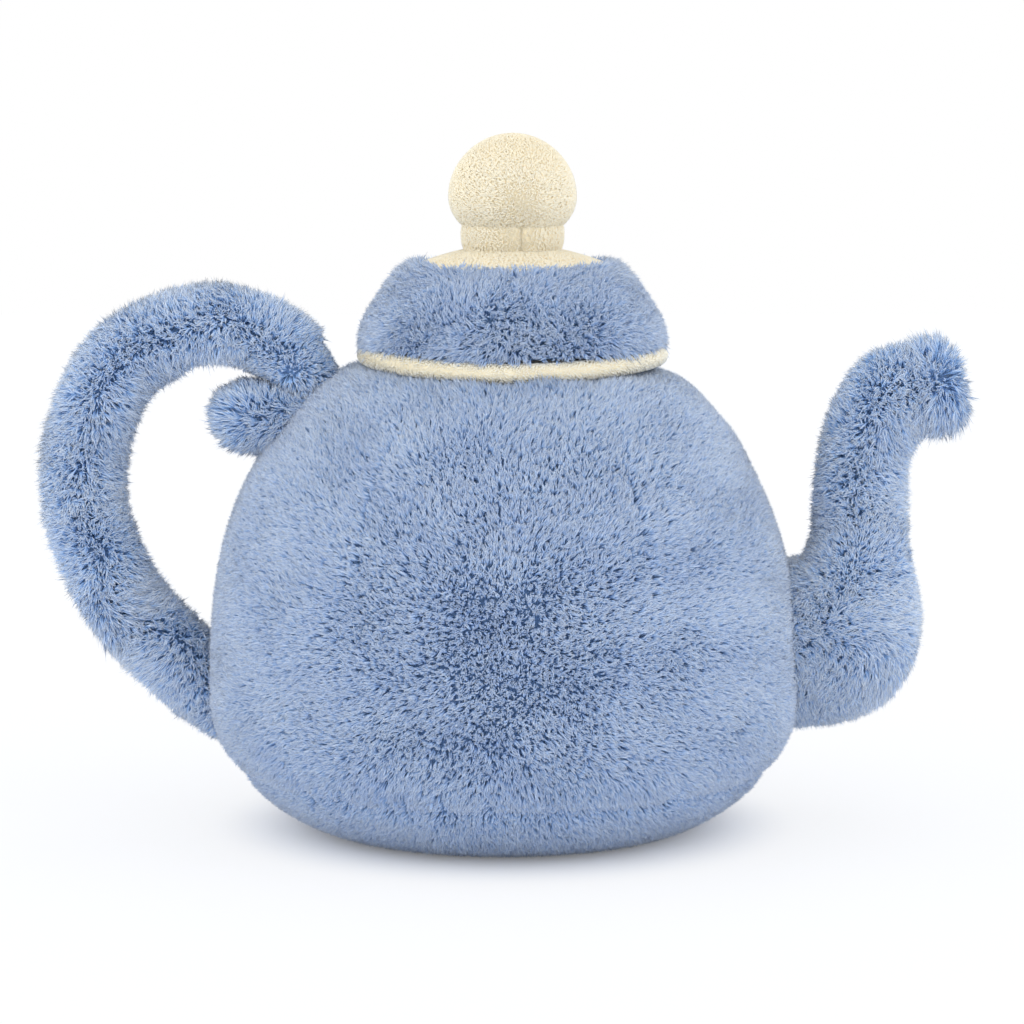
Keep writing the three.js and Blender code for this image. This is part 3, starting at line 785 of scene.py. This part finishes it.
def from_tuck(points):
    """Distance round the pot to the nearest tuck, in millimetres, and how near the base seam is."""
    x, y, z = points.T
    angle = np.arctan2(y, x) % (2 * math.pi)
    turn = (angle[:, None] - tuck_angles + math.pi) % (2 * math.pi) - math.pi
    turn = turn[np.arange(len(turn)), np.argmin(np.abs(turn), 1)]
    return turn * np.hypot(x, y), bell(z - BASE_SEAM, TUCK_REACH)


def pot_comb(places, normals):
    """The pile fans out from the middle, parts at seams and tucks, and hangs over the base seam."""
    height = places[:, 2]
    off = from_seam(places)
    parting = bell(off, 4.0) * smoothstep(height, 60, 110) * np.sign(off)
    parting *= 1 - smoothstep(height, *SEAM_FADES)
    off, near = from_tuck(places)
    parting = SEAM_LEAN * parting + TUCK_LEAN * np.sign(off) * bell(off, 4.0) * near
    hang = np.zeros_like(places)
    hang[:, 2] = -HEM_HANG * bell(height - BASE_SEAM - 2.5, 3.5)
    nap = fan(from_centre(places, NAP_CENTRE), NAP_REACH, NAP_LEAN)
    nap *= 1.5 - 0.5 * smoothstep(places[:, 2:], *NAP_LOW)
    return parting[:, None] * round_axis(places) + hang + nap


def pot_trim(places):
    """Pile is shorter where it is caught in a seam, uneven round the neck, and unlike on the shoulders."""
    height = places[:, 2]
    upright = SEAM_CUT * bell(from_seam(places), 2.0) * smoothstep(height, 55, 105)
    upright *= 1 - smoothstep(height, *SEAM_FADES)
    off, near = from_tuck(places)
    hem = HEM_CUT * bell(height - BASE_SEAM + 2.0, 2.4) + TUCK_CUT * bell(off, 1.6) * near
    across = places[:, 0] - lean_at(height)
    side = across**2 / (across**2 + places[:, 1] ** 2)
    tufts = 0.45 + 0.3 * waves(places, 11, 33)[:, 0]
    neck = tufts * (1 - side) * smoothstep(height, NECK[1] - POT_PILE - 2.5, NECK[1] - POT_PILE)
    slant = np.where(across > 0, SHOULDER_SLANT, -SHOULDER_SLANT)
    shoulder = slant * side**2 * smoothstep(height, 118, 132)
    return 1 + neck - shoulder - np.maximum(upright, np.clip(hem, 0, 0.5))


pot_root = offset(POT_PROFILE, -POT_PILE)
gore_rows = pot_root[pot_root[:, 1] >= BASE_SEAM - 0.5]
gore_top = gore_rows[-1, 1]
turned_in = [(NECK[0] - 2, gore_top + 0.2), (NECK[0] - 4, gore_top + 0.3)]
gore_rows = np.concatenate([gore_rows, turned_in])
cloth_rows = offset(gore_rows, -CLOTH)
bands = {}
for label, ends in PILE_BANDS.items():
    first, last = np.searchsorted(gore_rows[:-1, 1], ends)
    bands[label] = slice(first, last + 1)
for index, side in enumerate(GORE_SIDES):
    angles = GORE_SPAN * (index + np.linspace(0, 1, 29))
    plush(
        f"body_gore_{side}",
        pot_grid(gore_rows, angles), pot_grid(cloth_rows, angles), False, bands,
        SHORT_FUR, POT_PILE, 100 + 3 * index, clear_of_limbs, pot_comb, pot_trim,
    )


def pressed_thin(places, normals):
    """Fewer strands are worth showing where the base lies on the floor."""
    hidden = np.hypot(places[:, 0], places[:, 1]) < FOOT[0] - 1
    return ~hidden | (np.arange(len(places)) % 6 == 0)


ROUND_COLUMNS = 144
round_angles = full_turn(ROUND_COLUMNS)
base_wall = POT_PROFILE[POT_PROFILE[:, 1] <= BASE_SEAM + 0.5]
base_rows = offset(np.concatenate([disc(4, FOOT[0] - 2, 0.0, 16), base_wall]), -BASE_PILE)
plush(
    "base_panel",
    turned(base_rows, round_angles), turned(offset(base_rows, -CLOTH), round_angles), True,
    sectors(ROUND_COLUMNS, ("spout_side", "back", "handle_side", "front"), ROUND_COLUMNS // 8),
    SHORT_FUR, BASE_PILE, 120, pressed_thin, pot_comb, pot_trim,
)

# Limbs

LIMB_COLUMNS = 48
LIMB_LEAN = 0.42
LIMB_HANG = 0.1
ARCH_SPOT = (-66, 0, 142)
SCROLL_BRUSH = 0.3


def limb_pieces(label, node, limb, seed, bend, keep, comb, trim):
    """Cloth and pile of a limb, back and front panel apart, tied to their nodes with the limb's bend."""
    outer = limb.grid(LIMB_PILE, LIMB_COLUMNS)
    inner = limb.grid(LIMB_PILE + CLOTH, LIMB_COLUMNS)
    for step, (side, part) in enumerate(sectors(LIMB_COLUMNS, ("back", "front")).items()):
        cloth = panel(f"{label}_{side}_cloth", outer[part], inner[part], False, BLUE_CLOTH)
        hair = pile(
            f"{label}_{side}_pile", outer[part], False, -1, LONG_FUR, LIMB_REACH, LONG_PILE,
            seed + step, keep, comb, trim,
        )
        for made in (cloth, hair):
            tie(made, f"{node}_{side}", bend)


def outside_pot(places, normals):
    return (pot_distance(places) > -3.5) & (lid_distance(places) > -1.0)


def outside_pot_and(limb):
    """Keeps pile that lies outside the pot and another limb."""

    def keep(places, normals):
        return outside_pot(places, normals) & (limb.distance(places) > -LIMB_PILE)

    return keep


def spout_comb(places, normals):
    """Long pile fans out from the limb's middle line, and hangs a little."""
    free = smoothstep(places[:, 2:], 66, 104)
    return free * fan(SPOUT.outward(places), 1.0, LIMB_LEAN) - (0, 0, LIMB_HANG)


def arch_comb(places, normals):
    """The pile also fans out from one spot on each side of the arch's end."""
    out = from_centre(places, ARCH_SPOT)
    spot = bell(np.linalg.norm(out, axis=1, keepdims=True), 12)
    along = (1 - spot) * fan(ARCH.outward(places), 1.0, LIMB_LEAN)
    return 0.6 * spot * unit(out) + along - (0, 0, LIMB_HANG)


def scroll_comb(places, normals):
    """The pile of the scroll is brushed towards its free end."""
    return fan(SCROLL.outward(places), 1.0, LIMB_LEAN) - (SCROLL_BRUSH, 0, LIMB_HANG)


def scroll_trim(places):
    """Pile is shorter on top, under the arch."""
    return 1 - 0.32 * smoothstep(places[:, 2], 130, 136)


def spout_trim(places):
    """Pile is longest round the tip's blunt edge, and shorter at waist, root and inside of the curve."""
    tip_x, tip_z, turn, _ = SPOUT.rows[-1]
    heading = np.array((math.cos(math.radians(turn)), 0, math.sin(math.radians(turn))))
    from_tip = places - (tip_x, 0, tip_z)
    along = from_tip @ heading
    away = np.linalg.norm(from_tip - along[:, None] * heading, axis=1)
    x, _, z = places.T
    edge = 0.36 * smoothstep(along, -13, -6) * smoothstep(away, 2.0, 6)
    waist = 0.16 * bell(z - 88, 13)
    inside = 0.1 * smoothstep(z, 98, 116) * smoothstep(x, 120, 112)
    root = 0.14 * smoothstep(x, 116, 124) * smoothstep(z, 98, 86)
    return 1 + edge - waist - inside - root


def handle_trim(places):
    """Pile is longest round the outside of the arch, and short at both ends and over the scroll."""
    x, _, z = places.T
    root = 0.1 * (1 - smoothstep(z, 44, 56))
    end = 0.12 * smoothstep(x, -78, -54) * smoothstep(z, 120, 132)
    outside = 0.08 * smoothstep(-x, 124, 132)
    over_scroll = smoothstep(x, -106, -96) * smoothstep(z, 152, 149)
    return 1 + outside - root - end - 0.35 * over_scroll * smoothstep(z, 130, 138)


limb_pieces("spout", "spout", SPOUT, 200, SPOUT_BEND, outside_pot, spout_comb, spout_trim)
limb_pieces("handle", "handle", ARCH, 210, HANDLE_BEND, outside_pot_and(SCROLL), arch_comb, handle_trim)
limb_pieces(
    "handle_scroll", "handle", SCROLL, 220, HANDLE_BEND, outside_pot_and(ARCH), scroll_comb, scroll_trim
)

# Lid, piping and knob

LID_TOP = RIM[1] - LID_PILE

# Naps fan out from a centre up to a reach
LID_NAP_CENTRE = (NECK_SHIFT, 0, 159.0)
LID_NAP_REACH = 40.0
LID_NAP_LEAN = 0.1
NECK_NAP_CENTRE = (NECK_SHIFT + 2.5, 0, KNOB_MOUTH - 2)
NECK_NAP_LEAN = 1.1
KNOB_NAP_CENTRE = (NECK_SHIFT + 2.5, 0, KNOB_MOUTH + 7.0)
KNOB_NAP_LEAN = 1.4
KNOB_NAP_REACH = 9.0

NECK_SEAM_ANGLE = math.radians(-80)
NECK_SEAM_WIDTH = 0.8
DOME_HOLE = 12.5
DOME_CLUMPS = 260
DOME_NAP = 0.7
ROLL_SHARE = 0.94


def lid_comb(places, normals):
    """Pile fans out from the middle of front and back, leans out over the rim and down over the hem."""
    height = places[:, 2]
    rim = 0.25 * smoothstep(height, LID_TOP - 7, LID_TOP)[:, None]
    outward = unit(places * (1, 1, 0) - (NECK_SHIFT, 0, 0))
    lean = rim * outward + fan(from_centre(places, LID_NAP_CENTRE), LID_NAP_REACH, LID_NAP_LEAN)
    lean[:, 2] -= 0.25 * (1 - smoothstep(height, HEM[1] + 1, HEM[1] + 6))
    return lean


def lid_trim(places):
    """Pile is longest over the rim at the sides, and shorter at the hem and half way up the wall."""
    across, deep, height = places[:, 0] - NECK_SHIFT, places[:, 1], places[:, 2]
    side = across**2 / np.hypot(across, deep) ** 2
    rim = (0.25 * side - 0.15) * smoothstep(height, LID_TOP - 5, LID_TOP)
    hem = 0.2 * (1 - smoothstep(height, HEM[1] + 0.5, HEM[1] + 4))
    return 1 + rim - hem - 0.25 * bell(height - HEM[1] - 15, 7)


lid_root = offset(LID_PROFILE, -LID_PILE)
lid_root[:, 1] = np.maximum(lid_root[:, 1], HEM[1] + 0.4)
plush(
    "lid_wall",
    saddled(turned(lid_root, round_angles, NECK_SHIFT)),
    saddled(turned(offset(lid_root, -CLOTH), round_angles, NECK_SHIFT)), True,
    sectors(ROUND_COLUMNS, ("back", "front")), LONG_FUR, LID_PILE, 300, None, lid_comb, lid_trim,
)


def velour(
    node, grid, inner, seed, comb, trim=None, bend=None, wrapped=True,
    fur=VELOUR_FUR, depth=VELOUR, material=CREAM_PILE,
):
    """A cream panel: its cloth and its nap."""
    tie(panel(node + "_cloth", grid, inner, wrapped, CREAM_CLOTH), node, bend)
    hair = pile(node + "_pile", grid, wrapped, 1, fur, depth, material, seed, None, comb, trim)
    tie(hair, node, bend)


roll_angles = np.linspace(-ROLL_SHARE * math.pi, ROLL_SHARE * math.pi, 28)
roll = np.stack([np.cos(roll_angles), np.sin(roll_angles)], 1)


def roll_rows(radius):
    return roll * radius + (PIPING_RING, PIPING_HEIGHT)


def piping_comb(places, normals):
    """The nap of the welt is brushed round the neck, and apart from its middle."""
    return 1.1 * round_axis(places, NECK_SHIFT) + 1.8 * normals * (0, 0, 1)


ring_angles = full_turn(160)
welt = PIPING_RADIUS - PIPING_VELOUR
velour(
    "neck_piping",
    saddled(turned(roll_rows(welt), ring_angles, NECK_SHIFT)),
    saddled(turned(roll_rows(welt - PIPING_CLOTH), ring_angles, NECK_SHIFT)),
    310, piping_comb, fur=PIPING_FUR, depth=PIPING_VELOUR, material=PIPING_PILE,
)

dome_radii = np.linspace(DOME_RADIUS, DOME_HOLE, 22)
dome_heights = DOME_EDGE + DOME_RISE * (1 - (dome_radii / DOME_RADIUS) ** 2) - VELOUR
dome_rows = np.stack([dome_radii, dome_heights], 1)
dome_rng = np.random.default_rng(325)
dome_cells = np.zeros((DOME_CLUMPS, 3))
cell_reach = np.sqrt(dome_rng.uniform(12.0**2, DOME_RADIUS**2, DOME_CLUMPS))
cell_turn = dome_rng.uniform(0, 2 * math.pi, DOME_CLUMPS)
dome_cells[:, 0] = NECK_SHIFT + cell_reach * np.cos(cell_turn)
dome_cells[:, 1] = cell_reach * np.sin(cell_turn)


def dome_comb(places, normals):
    """The nap of the dome is brushed towards the knob, and draws together in small clumps."""
    flat = places * (1, 1, 0)
    nearest = dome_cells[np.argmin(((flat[:, None] - dome_cells[None]) ** 2).sum(-1), 1)]
    return 0.2 * (nearest - flat) - 0.35 * unit(flat - (NECK_SHIFT, 0, 0))


def dome_trim(places):
    """The dome's nap is short all over."""
    return np.full(len(places), DOME_NAP)


velour(
    "lid_top",
    turned(dome_rows, ring_angles, NECK_SHIFT),
    turned(dome_rows - (0, CLOTH), ring_angles, NECK_SHIFT),
    320, dome_comb, dome_trim,
)


def from_neck_seam(places):
    """Distance round the knob's neck to its closing seam, in millimetres."""
    turn = np.arctan2(places[:, 1], places[:, 0] - NECK_SHIFT) - NECK_SEAM_ANGLE
    return KNOB_NECK_RADIUS * ((turn + math.pi) % (2 * math.pi) - math.pi)


def neck_comb(places, normals):
    """The nap fans out from the front and back, and parts at the closing seam."""
    off = from_neck_seam(places)
    parting = 0.15 * np.sign(off) * bell(off, NECK_SEAM_WIDTH)
    nap = fan(from_centre(places, NECK_NAP_CENTRE), KNOB_NAP_REACH, NECK_NAP_LEAN)
    return parting[:, None] * round_axis(places, NECK_SHIFT) + nap


def neck_trim(places):
    """The nap is caught short in the closing seam, the crease under the knob and the seam on the dome."""
    seam = 0.88 * bell(from_neck_seam(places), 0.45)
    crease = 0.35 * bell(places[:, 2] - KNOB_MOUTH, 0.6)
    foot = 0.3 * bell(places[:, 2] - KNOB_NECK_FOOT, 1.0)
    return (1 - seam) * (1 - crease) * (1 - foot)


def knob_comb(places, normals):
    """The nap fans out from a spot a little below the middle, in front and behind."""
    return fan(from_centre(places, KNOB_NAP_CENTRE), KNOB_NAP_REACH, KNOB_NAP_LEAN)


def knob_trim(places):
    """The nap is caught short at the mouth, full round the middle of its fan, and smooth over the top."""
    mouth = 0.6 * bell(places[:, 2] - KNOB_MOUTH, 0.8)
    full = 0.1 * bell(np.linalg.norm(from_centre(places, KNOB_NAP_CENTRE), axis=1), 10)
    smooth = 0.35 * smoothstep(places[:, 2], KNOB_MOUTH + 12, KNOB_MOUTH + 26)
    return (1 - mouth) * (1 + full - smooth)


neck_heights = np.linspace(KNOB_NECK_FOOT - 1.5, KNOB_MOUTH + 0.6, 12)
neck_bulge = KNOB_NECK_RADIUS - VELOUR + 0.6 * np.sin(np.linspace(-0.1, 0.75, 12) * math.pi)
neck_rows = np.stack([neck_bulge, neck_heights], 1)


def neck_grid(rows):
    """The collar, drawn in along its closing seam."""
    grid = turned(rows, ring_angles, NECK_SHIFT)
    off = from_neck_seam(grid.reshape(-1, 3)).reshape(grid.shape[:2])
    middle = grid * (0, 0, 1) + (NECK_SHIFT, 0, 0)
    return grid + bell(off, NECK_SEAM_WIDTH)[..., None] * unit(middle - grid)


velour(
    "knob_neck", neck_grid(neck_rows), neck_grid(neck_rows - (CLOTH, 0)),
    330, neck_comb, neck_trim, KNOB_BEND,
)

mouth_angle = -math.acos((KNOB_NECK_RADIUS + KNOB_GATHER) / KNOB_RADIUS)
knob_centre = KNOB_MOUTH - KNOB_RADIUS * math.sin(mouth_angle)


def knob_rows(radius, last=0.985):
    angles = np.linspace(mouth_angle, last * math.pi / 2, 34)
    drawn = KNOB_GATHER * (np.minimum(angles, 0) / mouth_angle) ** 2
    return np.stack([radius * np.cos(angles) - drawn, knob_centre + radius * np.sin(angles)], 1)


for node, first in (("knob_spout_side", -math.pi / 2), ("knob_handle_side", math.pi / 2)):
    half_turn = first + np.linspace(0, math.pi, 61)
    velour(
        node,
        turned(knob_rows(KNOB_RADIUS - VELOUR), half_turn, NECK_SHIFT),
        turned(knob_rows(KNOB_RADIUS - VELOUR - CLOTH), half_turn, NECK_SHIFT),
        340 + round(first), knob_comb, knob_trim, KNOB_BEND, False,
    )

# Turned-in hems where the limbs are sewn on

HEM_RADIUS = 1.2
HEM_TUCK = 0.15


def root_line(limb, from_end):
    """Where the limb's cloth meets the pot's cloth, one point for each column."""
    grid = limb.grid(LIMB_PILE, LIMB_COLUMNS)[: len(limb.rows)]
    if from_end:
        grid = grid[::-1]
    inside = pot_distance(grid.reshape(-1, 3)).reshape(grid.shape[:2]) + POT_PILE
    row = np.argmax(inside > 0, axis=0)
    row = np.maximum(row, 1)
    column = np.arange(grid.shape[1])
    low, high = inside[row - 1, column], inside[row, column]
    share = np.clip(-low / np.maximum(high - low, 1e-6), 0, 1)[:, None]
    return grid[row - 1, column] * (1 - share) + grid[row, column] * share


def hem_ring(name, line, bend, node):
    """A rolled hem of cloth along a closed line of points."""
    tangent = unit(np.roll(line, -1, 0) - np.roll(line, 1, 0))
    outward = unit(line - line.mean(0))
    outward = unit(outward - tangent * np.sum(outward * tangent, 1, keepdims=True))
    across = np.cross(tangent, outward)
    angle = full_turn(12)
    tucks = 1 + HEM_TUCK * np.sin(np.arange(len(line)) * 1.9)[:, None, None]
    section = outward[:, None] * np.cos(angle)[:, None] + across[:, None] * np.sin(angle)[:, None]
    made = ring_form(name, line[:, None] + HEM_RADIUS * tucks * section, BLUE_CLOTH)
    tie(made, node, bend)


hem_ring("spout_seam_hem", root_line(SPOUT, False), SPOUT_BEND, "spout_seam")
hem_ring("handle_lower_seam_hem", root_line(ARCH, False), HANDLE_BEND, "handle_lower_seam")
hem_ring("handle_upper_seam_hem", root_line(ARCH, True), HANDLE_BEND, "handle_upper_seam")
hem_ring("handle_scroll_seam_hem", root_line(SCROLL, False), HANDLE_BEND, "handle_upper_seam")

# Insides

FILL_GAP = 0.8
FILL_MIDDLE = 3


def lumpy(grid, size, height, seed):
    """A grid with lumps of about the given size and height."""
    flat = waves(grid.reshape(-1, 3), size, seed)
    return grid + height * (flat[:, 0].reshape(grid.shape[:2])[..., None] - 1) * grid_normals(grid, True)


def stuffed(name, node, grid, bend=None, material=FIBRE_FILL):
    """A closed form of filling, padded out inside its cloth."""
    made = closed_form(name, grid, material)
    tie(made, node, bend)


def fibre(node, grid, seed, bend=None):
    """Fibre filling of a node, with its lumps."""
    stuffed(node + "_fill", node, lumpy(grid, 11, 0.25, seed), bend)


fill_angles = full_turn(72)
bag_half = BEAN_BAG_HEIGHT / 2
bag_middle = BASE_PILE + CLOTH + FILL_GAP + bag_half
bag_arc = np.linspace(-math.pi / 2, math.pi / 2, 15)
bag_out = BEAN_BAG_RADIUS - bag_half + bag_half * np.cos(bag_arc)
bag_rows = np.concatenate([
    disc(FILL_MIDDLE, 36, bag_middle - bag_half),
    np.stack([bag_out, bag_middle + bag_half * np.sin(bag_arc)], 1),
    disc(36, FILL_MIDDLE, bag_middle + bag_half),
])
bag_grid = lumpy(turned(bag_rows, fill_angles), 5, 0.35, 61)
stuffed("base_bean_bag_fill", "base_bean_bag", bag_grid, None, BAG_COTTON)

# The stuffing lies round and on top of the bean bag
inside_wall = offset(POT_PROFILE, -POT_PILE - CLOTH - FILL_GAP)
inside_wall = inside_wall[inside_wall[:, 1] > 6.5]
fill_grid = turned(np.concatenate([
    disc(FILL_MIDDLE, 36, bag_middle + bag_half + 1.0),
    [(45.5, bag_middle + 4.0), (47.5, bag_middle - 2.0)],
    inside_wall,
    disc(inside_wall[-1, 0] - 3, FILL_MIDDLE, inside_wall[-1, 1]),
]), fill_angles)
fill_grid[..., 0] += lean_at(fill_grid[..., 2])
fibre("body_stuffing", fill_grid, 62)

lid_wall = offset(LID_PROFILE, -LID_PILE - CLOTH - FILL_GAP)
lid_wall = lid_wall[(lid_wall[:, 1] > HEM[1] + 1.5) & (lid_wall[:, 1] < RIM[1] - 6)]
lid_rows = np.concatenate([
    disc(FILL_MIDDLE, 36, NECK[1] - POT_PILE + 1.0, 10),
    [(36.5, HEM[1] + 1.0)],
    lid_wall,
    disc(lid_wall[-1, 0] - 1, FILL_MIDDLE, RIM[1] - 5.5, 10),
])
fibre("lid_stuffing", turned(lid_rows, fill_angles, NECK_SHIFT), 63)

ball = knob_rows(KNOB_RADIUS - VELOUR - CLOTH - FILL_GAP, 0.97)
fibre("knob_stuffing", turned(ball, fill_angles, NECK_SHIFT), 64, KNOB_BEND)


def limb_fill(limb):
    """Rings of a limb's stuffing, from where the limb leaves the pot."""
    grid = limb.grid(LIMB_PILE + CLOTH + FILL_GAP, 36)
    free = pot_distance(grid.mean(1)) > 2.0
    return grid[free][:, ::-1]


fibre("spout_stuffing", limb_fill(SPOUT), 65, bend=SPOUT_BEND)
fibre("handle_stuffing", limb_fill(ARCH), 66, bend=HANDLE_BEND)
stuffed("handle_scroll_fill", "handle_stuffing", limb_fill(SCROLL), HANDLE_BEND)

# A cord of three strands twisted together runs inside the piping
CORD_STRANDS = 3
CORD_TWISTS = 18
cord_turns = full_turn(240)
cord_section = full_turn(18)
cord_phase = CORD_STRANDS * (cord_section[None, :] - CORD_TWISTS * cord_turns[:, None])
twist = CORD_RADIUS * (0.88 + 0.12 * np.cos(cord_phase))
cord_out = PIPING_RING + twist * np.cos(cord_section)
cord_grid = np.stack([
    NECK_SHIFT + cord_out * np.cos(cord_turns)[:, None],
    cord_out * np.sin(cord_turns)[:, None],
    PIPING_HEIGHT + twist * np.sin(cord_section),
], -1)
cord = ring_form("neck_piping_cord_twist", saddled(cord_grid), CORD_COTTON)
tie(cord, "neck_piping_cord")

# Stage

# How bright the camera sees the floor, at two distances from its middle in metres: painted light that fades
# the object's shadow out away from its foot and leaves it dark near the foot
FLOOR_GLOW = ((0.054, 0.16), (0.095, 0.77))
FLOOR_HALF = 2500
# The floor's colour is tinted blue: painted blue bounce light from the plush, seen in the floor's shadow
FLOOR_COLOUR_WITH_PAINTED_BOUNCE = (0.84, 0.89, 0.98, 1)
WHITE = (1, 1, 1, 1)
DAYLIGHT = 1.14

floor_material, tree, shader = new_material("white_floor", 0.8)
put(shader, {"Base Color": FLOOR_COLOUR_WITH_PAINTED_BOUNCE})
glow = tree.nodes.new("ShaderNodeEmission")
path = tree.nodes.new("ShaderNodeLightPath")
place = tree.nodes.new("ShaderNodeTexCoord")
reach = tree.nodes.new("ShaderNodeVectorMath")
reach.operation = "LENGTH"
fade = tree.nodes.new("ShaderNodeMapRange")
fade.interpolation_type = "SMOOTHSTEP"
for step, (away, bright) in enumerate(FLOOR_GLOW):
    put(fade, {1 + step: away, 3 + step: bright})
share = tree.nodes.new("ShaderNodeMath")
share.operation = "MULTIPLY"
mix = tree.nodes.new("ShaderNodeMixShader")
join(
    tree,
    (place.outputs["Object"], reach.inputs[0]),
    (reach.outputs["Value"], fade.inputs["Value"]),
    (path.outputs["Is Camera Ray"], share.inputs[0]),
    (fade.outputs["Result"], share.inputs[1]),
    (share.outputs[0], mix.inputs["Fac"]),
    (shader.outputs[0], mix.inputs[1]),
    (glow.outputs[0], mix.inputs[2]),
    (mix.outputs[0], tree.nodes["Material Output"].inputs["Surface"]),
)
floor_corners = FLOOR_HALF * np.array([(-1, -1, 0), (1, -1, 0), (1, 1, 0), (-1, 1, 0)])
floor = make_object("floor", floor_corners, np.arange(4), np.array([4]), floor_material)

world = bpy.data.worlds.new("studio")
bpy.context.scene.world = world
world.use_nodes = True
tree = world.node_tree
light = tree.nodes["Background"]
put(light, {"Color": WHITE, "Strength": DAYLIGHT})
backdrop = tree.nodes.new("ShaderNodeBackground")
put(backdrop, {"Color": WHITE})
path = tree.nodes.new("ShaderNodeLightPath")
mix = tree.nodes.new("ShaderNodeMixShader")
join(
    tree,
    (path.outputs["Is Camera Ray"], mix.inputs["Fac"]),
    (light.outputs[0], mix.inputs[1]),
    (backdrop.outputs[0], mix.inputs[2]),
    (mix.outputs[0], tree.nodes["World Output"].inputs["Surface"]),
)

for name, strength, spread, pitch, turn in (
    ("front", 0.35, 60, 82, 0),
    ("left", 0.4, 50, 72, -70),
    ("right", 0.4, 50, 72, 70),
):
    lamp = bpy.data.lights.new(name, "SUN")
    lamp.energy = strength
    lamp.angle = math.radians(spread)
    add_object(name, lamp).rotation_euler = (math.radians(pitch), 0, math.radians(turn))

lens = bpy.data.cameras.new("camera")
lens.sensor_width = 36
lens.lens = 124.74
camera = add_object("camera", lens)
camera.location = (0.002635, -1.1, 0.230)
camera.rotation_euler = (math.radians(90 - 6.835), 0, 0)
bpy.context.scene.camera = camera
bpy.context.scene.view_settings.view_transform = "Standard"
